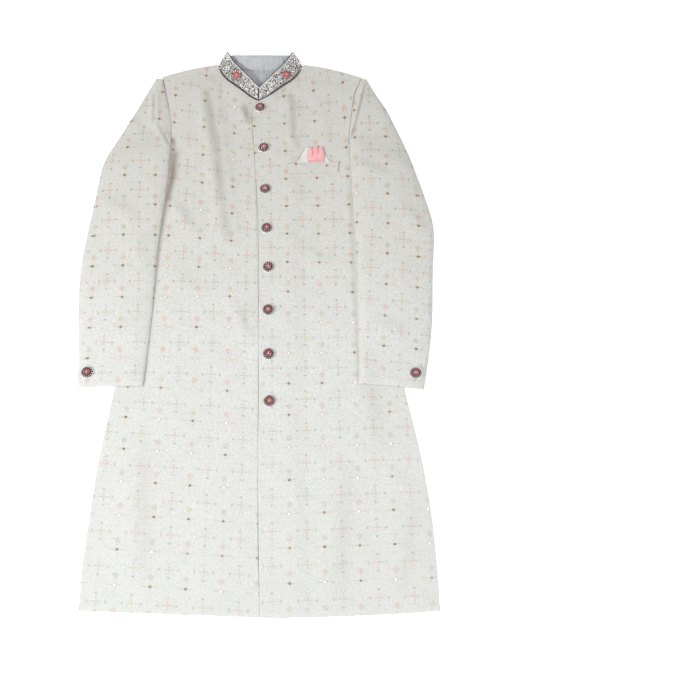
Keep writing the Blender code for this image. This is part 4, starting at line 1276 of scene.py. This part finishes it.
def button_mesh():
    """One button round the origin: bright rim, dark band with crystals, ring of stones and eye."""
    places, faces, finishes = [], [], []
    turns = np.arange(BUTTON_TURNS) * (2 * math.pi / BUTTON_TURNS)
    for radius, height, _ in BUTTON_BANDS[:-1]:
        places += [(radius * math.cos(t), radius * math.sin(t), height) for t in turns]
    crown = len(places)
    places += [(0, 0, BUTTON_BANDS[-1][1]), (0, 0, 0)]
    for j in range(BUTTON_TURNS):
        k = (j + 1) % BUTTON_TURNS
        faces.append((crown + 1, k, j))
        finishes.append(0)
        for i in range(len(BUTTON_BANDS) - 2):
            low, high = i * BUTTON_TURNS, (i + 1) * BUTTON_TURNS
            faces.append((low + j, low + k, high + k, high + j))
            finishes.append(BUTTON_BANDS[i][2])
        faces.append((high + j, high + k, crown))
        finishes.append(1)
    mesh = mesh_of("button_form", np.array(places) - HEM_MIDDLE, faces=faces)
    for finish in (RIM, OXIDISED, RUBY):
        mesh.materials.append(finish)
    mesh.polygons.foreach_set("material_index", finishes)
    mesh.shade_smooth()
    stones = [
        (GEMS, ring_of_spots(14, 9.1, 2.9, 0.3), 1.05, CRYSTAL),
        (BEADS, ring_of_spots(9, 5.1, 4.5, 0.1), 1.4, RUBY),
        (GEMS, ring_of_spots(1, 0.0, 5.1, 0.0), 1.6, CRYSTAL),
        (BEADS, ring_of_spots(12, 2.9, 4.3, 0.2), 0.45, SILVER),
    ]
    grown = [studs(tree, "stones", *rest, Vary=0.08, Lean=0.12) for tree, *rest in stones]
    return joined("button", mesh, *grown)


button = button_mesh()
BUTTONS = [f"front_button_{k}" for k in range(1, 9)] + ["cuff_button_right", "cuff_button_left"]
button_spots = []
for k, node in enumerate(BUTTONS):
    low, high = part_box(node)
    middle = (low + high) / 2
    spot = np.array([middle.x, middle.y, low.z]) / MM - HEM_MIDDLE
    rise, _ = cloth_rise(spot[:1], spot[1:2])
    button_spots.append(spot[:2])
    mesh = button.copy()
    turn = k * BUTTON_SPIN
    spin = [(math.cos(turn), math.sin(turn), 0), (-math.sin(turn), math.cos(turn), 0), (0, 0, 1)]
    places = (points_of(mesh) + HEM_MIDDLE) @ np.array(spin) + spot + (0, 0, rise[0])
    move_points(mesh, places)
    seat(piece(node + "_jewelled", mesh), "jewelled_metal", node)


# ---------------------------------------------------------------- sequins, stitches and edgings


def tree_of(thing):
    """A search tree of a piece's surface."""
    mesh = thing.data
    return BVHTree.FromPolygons([v.co for v in mesh.vertices], [p.vertices for p in mesh.polygons])


search = {node: tree_of(thing) for node, thing in cloth.items()}
search["collar"] = tree_of(collar_band)
OVER_ALL = 0.1


def top_of(x, y, only=None):
    """The place and facing of the uppermost cloth at a place, if it is the named piece."""
    start = Vector((np.array((x, y, 0)) + HEM_MIDDLE) * MM)
    start.z = OVER_ALL
    best = (None, None, None)
    for node, tree in search.items():
        place, facing, _, _ = tree.ray_cast(start, (0, 0, -1))
        if place and (best[0] is None or place.z > best[0].z):
            best = (place, facing, node)
    if best[0] is None or (only and best[2] != only):
        return None
    return np.array(best[0]) / MM - HEM_MIDDLE, np.array(best[1])


# A cup sequin in each dot of the repeat, and tiny bright ones on some of the crosses' tips. The
# bright ones are painted glints, white copies of the sequins; their share in the dots goes down
# from the hem to the chest
BUTTON_ROOM = 13.5
SEQUIN_RADIUS = 2.0
SEQUIN_LIFT = 0.25
TIP_RADIUS = 0.95
TIPS = ((0.28, 0.0), (-0.28, 0.0), (0.0, 0.25), (0.0, -0.25))
TIP_SHARE = 0.3
PAINTED_GLINTS_AT_HEM, PAINTED_GLINTS_LOST, CHEST_HEIGHT = 0.6, 0.54, 900
REPEAT_COLUMNS, REPEAT_ROWS = range(-5, 6), range(-4, 19)
STEEPEST_CLOTH = 0.5
random = np.random.default_rng(SEED + 2)
spots = {"gold": [], "bright": [], "tip": []}
for node, chart, _ in PANELS[1:]:
    for u in REPEAT_COLUMNS:
        for v in REPEAT_ROWS:
            marks = [("dot", u, v)]
            for a, b in TIPS:
                if random.random() < TIP_SHARE:
                    marks.append(("tip", u + 0.5 + a, v + 0.5 + b))
            for kind, column, row in marks:
                x, y = (float(n) for n in place_of(CHARTS[chart], column, row))
                found = top_of(x, y, node)
                near = min(math.hypot(x - bx, y - by) for bx, by in button_spots)
                if found is None or found[1][2] < STEEPEST_CLOTH or near < BUTTON_ROOM:
                    continue
                # Painted glints: more of the dots' sequins are bright towards the hem
                if kind == "dot":
                    bright = PAINTED_GLINTS_AT_HEM - PAINTED_GLINTS_LOST * min(max(y / CHEST_HEIGHT, 0), 1)
                    kind = "bright" if random.random() < bright else "gold"
                spots[kind].append((found[0] + found[1] * SEQUIN_LIFT, found[1], (1, 0, 0)))
sequins = []
for kind, size, finish in (
    ("gold", SEQUIN_RADIUS, GOLD_SEQUIN),
    ("bright", SEQUIN_RADIUS, PAINTED_GLINT_SEQUIN),
    ("tip", TIP_RADIUS, PAINTED_GLINT_SEQUIN),
):
    marks = zip(*spots[kind])
    sequins.append(studs(CUPS, kind + "_sequins", marks, size, finish, Lean=0.16, Vary=0.15))
sequin_work = seat(piece("sequins", joined("sequins", *sequins)), "ivory_brocade")


def laid_line(corners, step, lift, only=None):
    """A line over the top of the cloth through some places."""
    corners = np.array([(x, y, 0) for x, y in corners], float)
    places, _ = along_line(corners, step)
    found = [top_of(x, y, only) for x, y, _ in places]
    return np.array([f[0] + f[1] * lift for f in found if f is not None])


# Stitches: small, beside the lapped edge and across the welt's ends
LAP_STITCHES = [
    (-38, 985), (-33, 924), (-25, 790), (-18, 694), (-12.5, 600),
    (-7, 384), (-4, 237), (-0.5, 125), (6, 8),
]
WELT_STITCHES = [[(34, 849), (33.6, 866)], [(128, 852), (129.4, 870)]]
STITCH_STEP = 4.6
stitch_spots = []
for corners, only in [(LAP_STITCHES, "left_front")] + [(e, "pocket_welt") for e in WELT_STITCHES]:
    line = laid_line(corners, STITCH_STEP, 0.1, only)
    stitch_spots += [(p, (0, 0, 1), r) for p, r in zip(line, unit(np.gradient(line, axis=0)))]
stitch_shape = {"Length": 3.6, "Height": 0.8, "Vary": 0.1}
stitches = studs(BEADS, "stitches", zip(*stitch_spots), 0.32, THREAD, **stitch_shape)
stitch_work = seat(piece("stitches", stitches), "ivory_brocade")

# Edgings: a grey one on the net; on the square a pink roll and pink tubes of painted crease shade;
# and a grey cord of painted shadow down the lapped edge
NET_EDGES = [[(50, 874), (57, 889), (67, 906.5), (79, 902.5)], [(99, 899), (106, 886), (114, 874)]]
# A roll along the welt's top, then two tubes of painted crease shade
PINK_ROLL_AND_SHADE_LINES = [
    [(71, 874.4), (84, 874.9), (101, 875.2)],
    [(76, 906), (78.5, 898), (80, 890), (79, 882)],
    [(87.5, 904), (91, 896), (92.5, 889)],
]
LAP_EDGE = [
    (-46.5, 983), (-40.9, 939), (-36.7, 890), (-30.4, 819), (-25.9, 760), (-22.8, 703),
    (-18.9, 602), (-12.3, 384), (-9.2, 237), (-5.7, 125), (1.2, 6),
]
EDGE_STEP = 1.5
LAP_STEP = 4.0
net_lines = [laid_line(edge, EDGE_STEP, 0.1) for edge in NET_EDGES]
net_edge = threads("net_edge", net_lines, 0.3, 5, EDGE_GREY)
net_edging = seat(piece("pocket_net_edge", net_edge), "white_net")
pink_roll_and_shade_lines = [laid_line(roll, EDGE_STEP, 0.1, "pocket_square") for roll in PINK_ROLL_AND_SHADE_LINES]
pink_roll_and_shade_lines = [line for line in pink_roll_and_shade_lines if len(line) > 2]
pink_roll_and_shade = threads("pink_roll_and_shade", pink_roll_and_shade_lines, 0.6, 8, DEEP_PINK_ROLL_AND_SHADE)
pink_roll_and_shade_tubes = seat(piece("pocket_square_roll_and_shade", pink_roll_and_shade), "pink_silk")
# A grey cord of painted shadow down the lapped edge
lap_shadow_cord = threads("lap_shadow_cord", [laid_line(LAP_EDGE, LAP_STEP, 0.05)], 0.5, 6, LAP_SHADOW_GREY)
lap_painted_shadow = seat(piece("lap_painted_shadow", lap_shadow_cord), "ivory_brocade")


# ---------------------------------------------------------------- stage and light

FLOOR_HALF = 6.0
FLOOR_DROP = 0.0004
floor_mesh = bpy.data.meshes.new("floor")
corners = [(a * FLOOR_HALF, b * FLOOR_HALF, 0) for a, b in ((-1, -1), (1, -1), (1, 1), (-1, 1))]
floor_mesh.from_pydata(corners, [], [(0, 1, 2, 3)])
paper = Finish("pale_floor", Roughness=0.9, Emission_Color=(1, 1, 1, 1), Emission_Strength=0.3)
tone = paper.dye((0.93, 0.93, 0.93), (0.91, 0.91, 0.91), paper.speckle(paper.spot(), 3.0))
paper.feed(Base_Color=tone)
floor = piece("floor", floor_mesh, paper.material)
floor.location.z = -FLOOR_DROP

# Name, place, size and power of each soft light, turned to the coat
LIGHTS = [
    ("key", (-2.1, -1.25, 2.2), 0.7, 82.0),
    ("fill", (1.4, -1.15, 2.5), 2.4, 46.0),
]
for name, place, size, power in LIGHTS:
    lamp = bpy.data.lights.new(name, "AREA")
    lamp.shape = "DISK"
    lamp.size = size
    lamp.energy = power
    set_out(name, lamp, place, (0, 0, 0))

world = bpy.data.worlds.new("studio")
world.use_nodes = True
sky = world.node_tree.nodes["Background"].inputs
sky["Color"].default_value = (1, 1, 1, 1)
sky["Strength"].default_value = 0.5
bpy.context.scene.world = world
bpy.context.scene.view_settings.view_transform = "Standard"
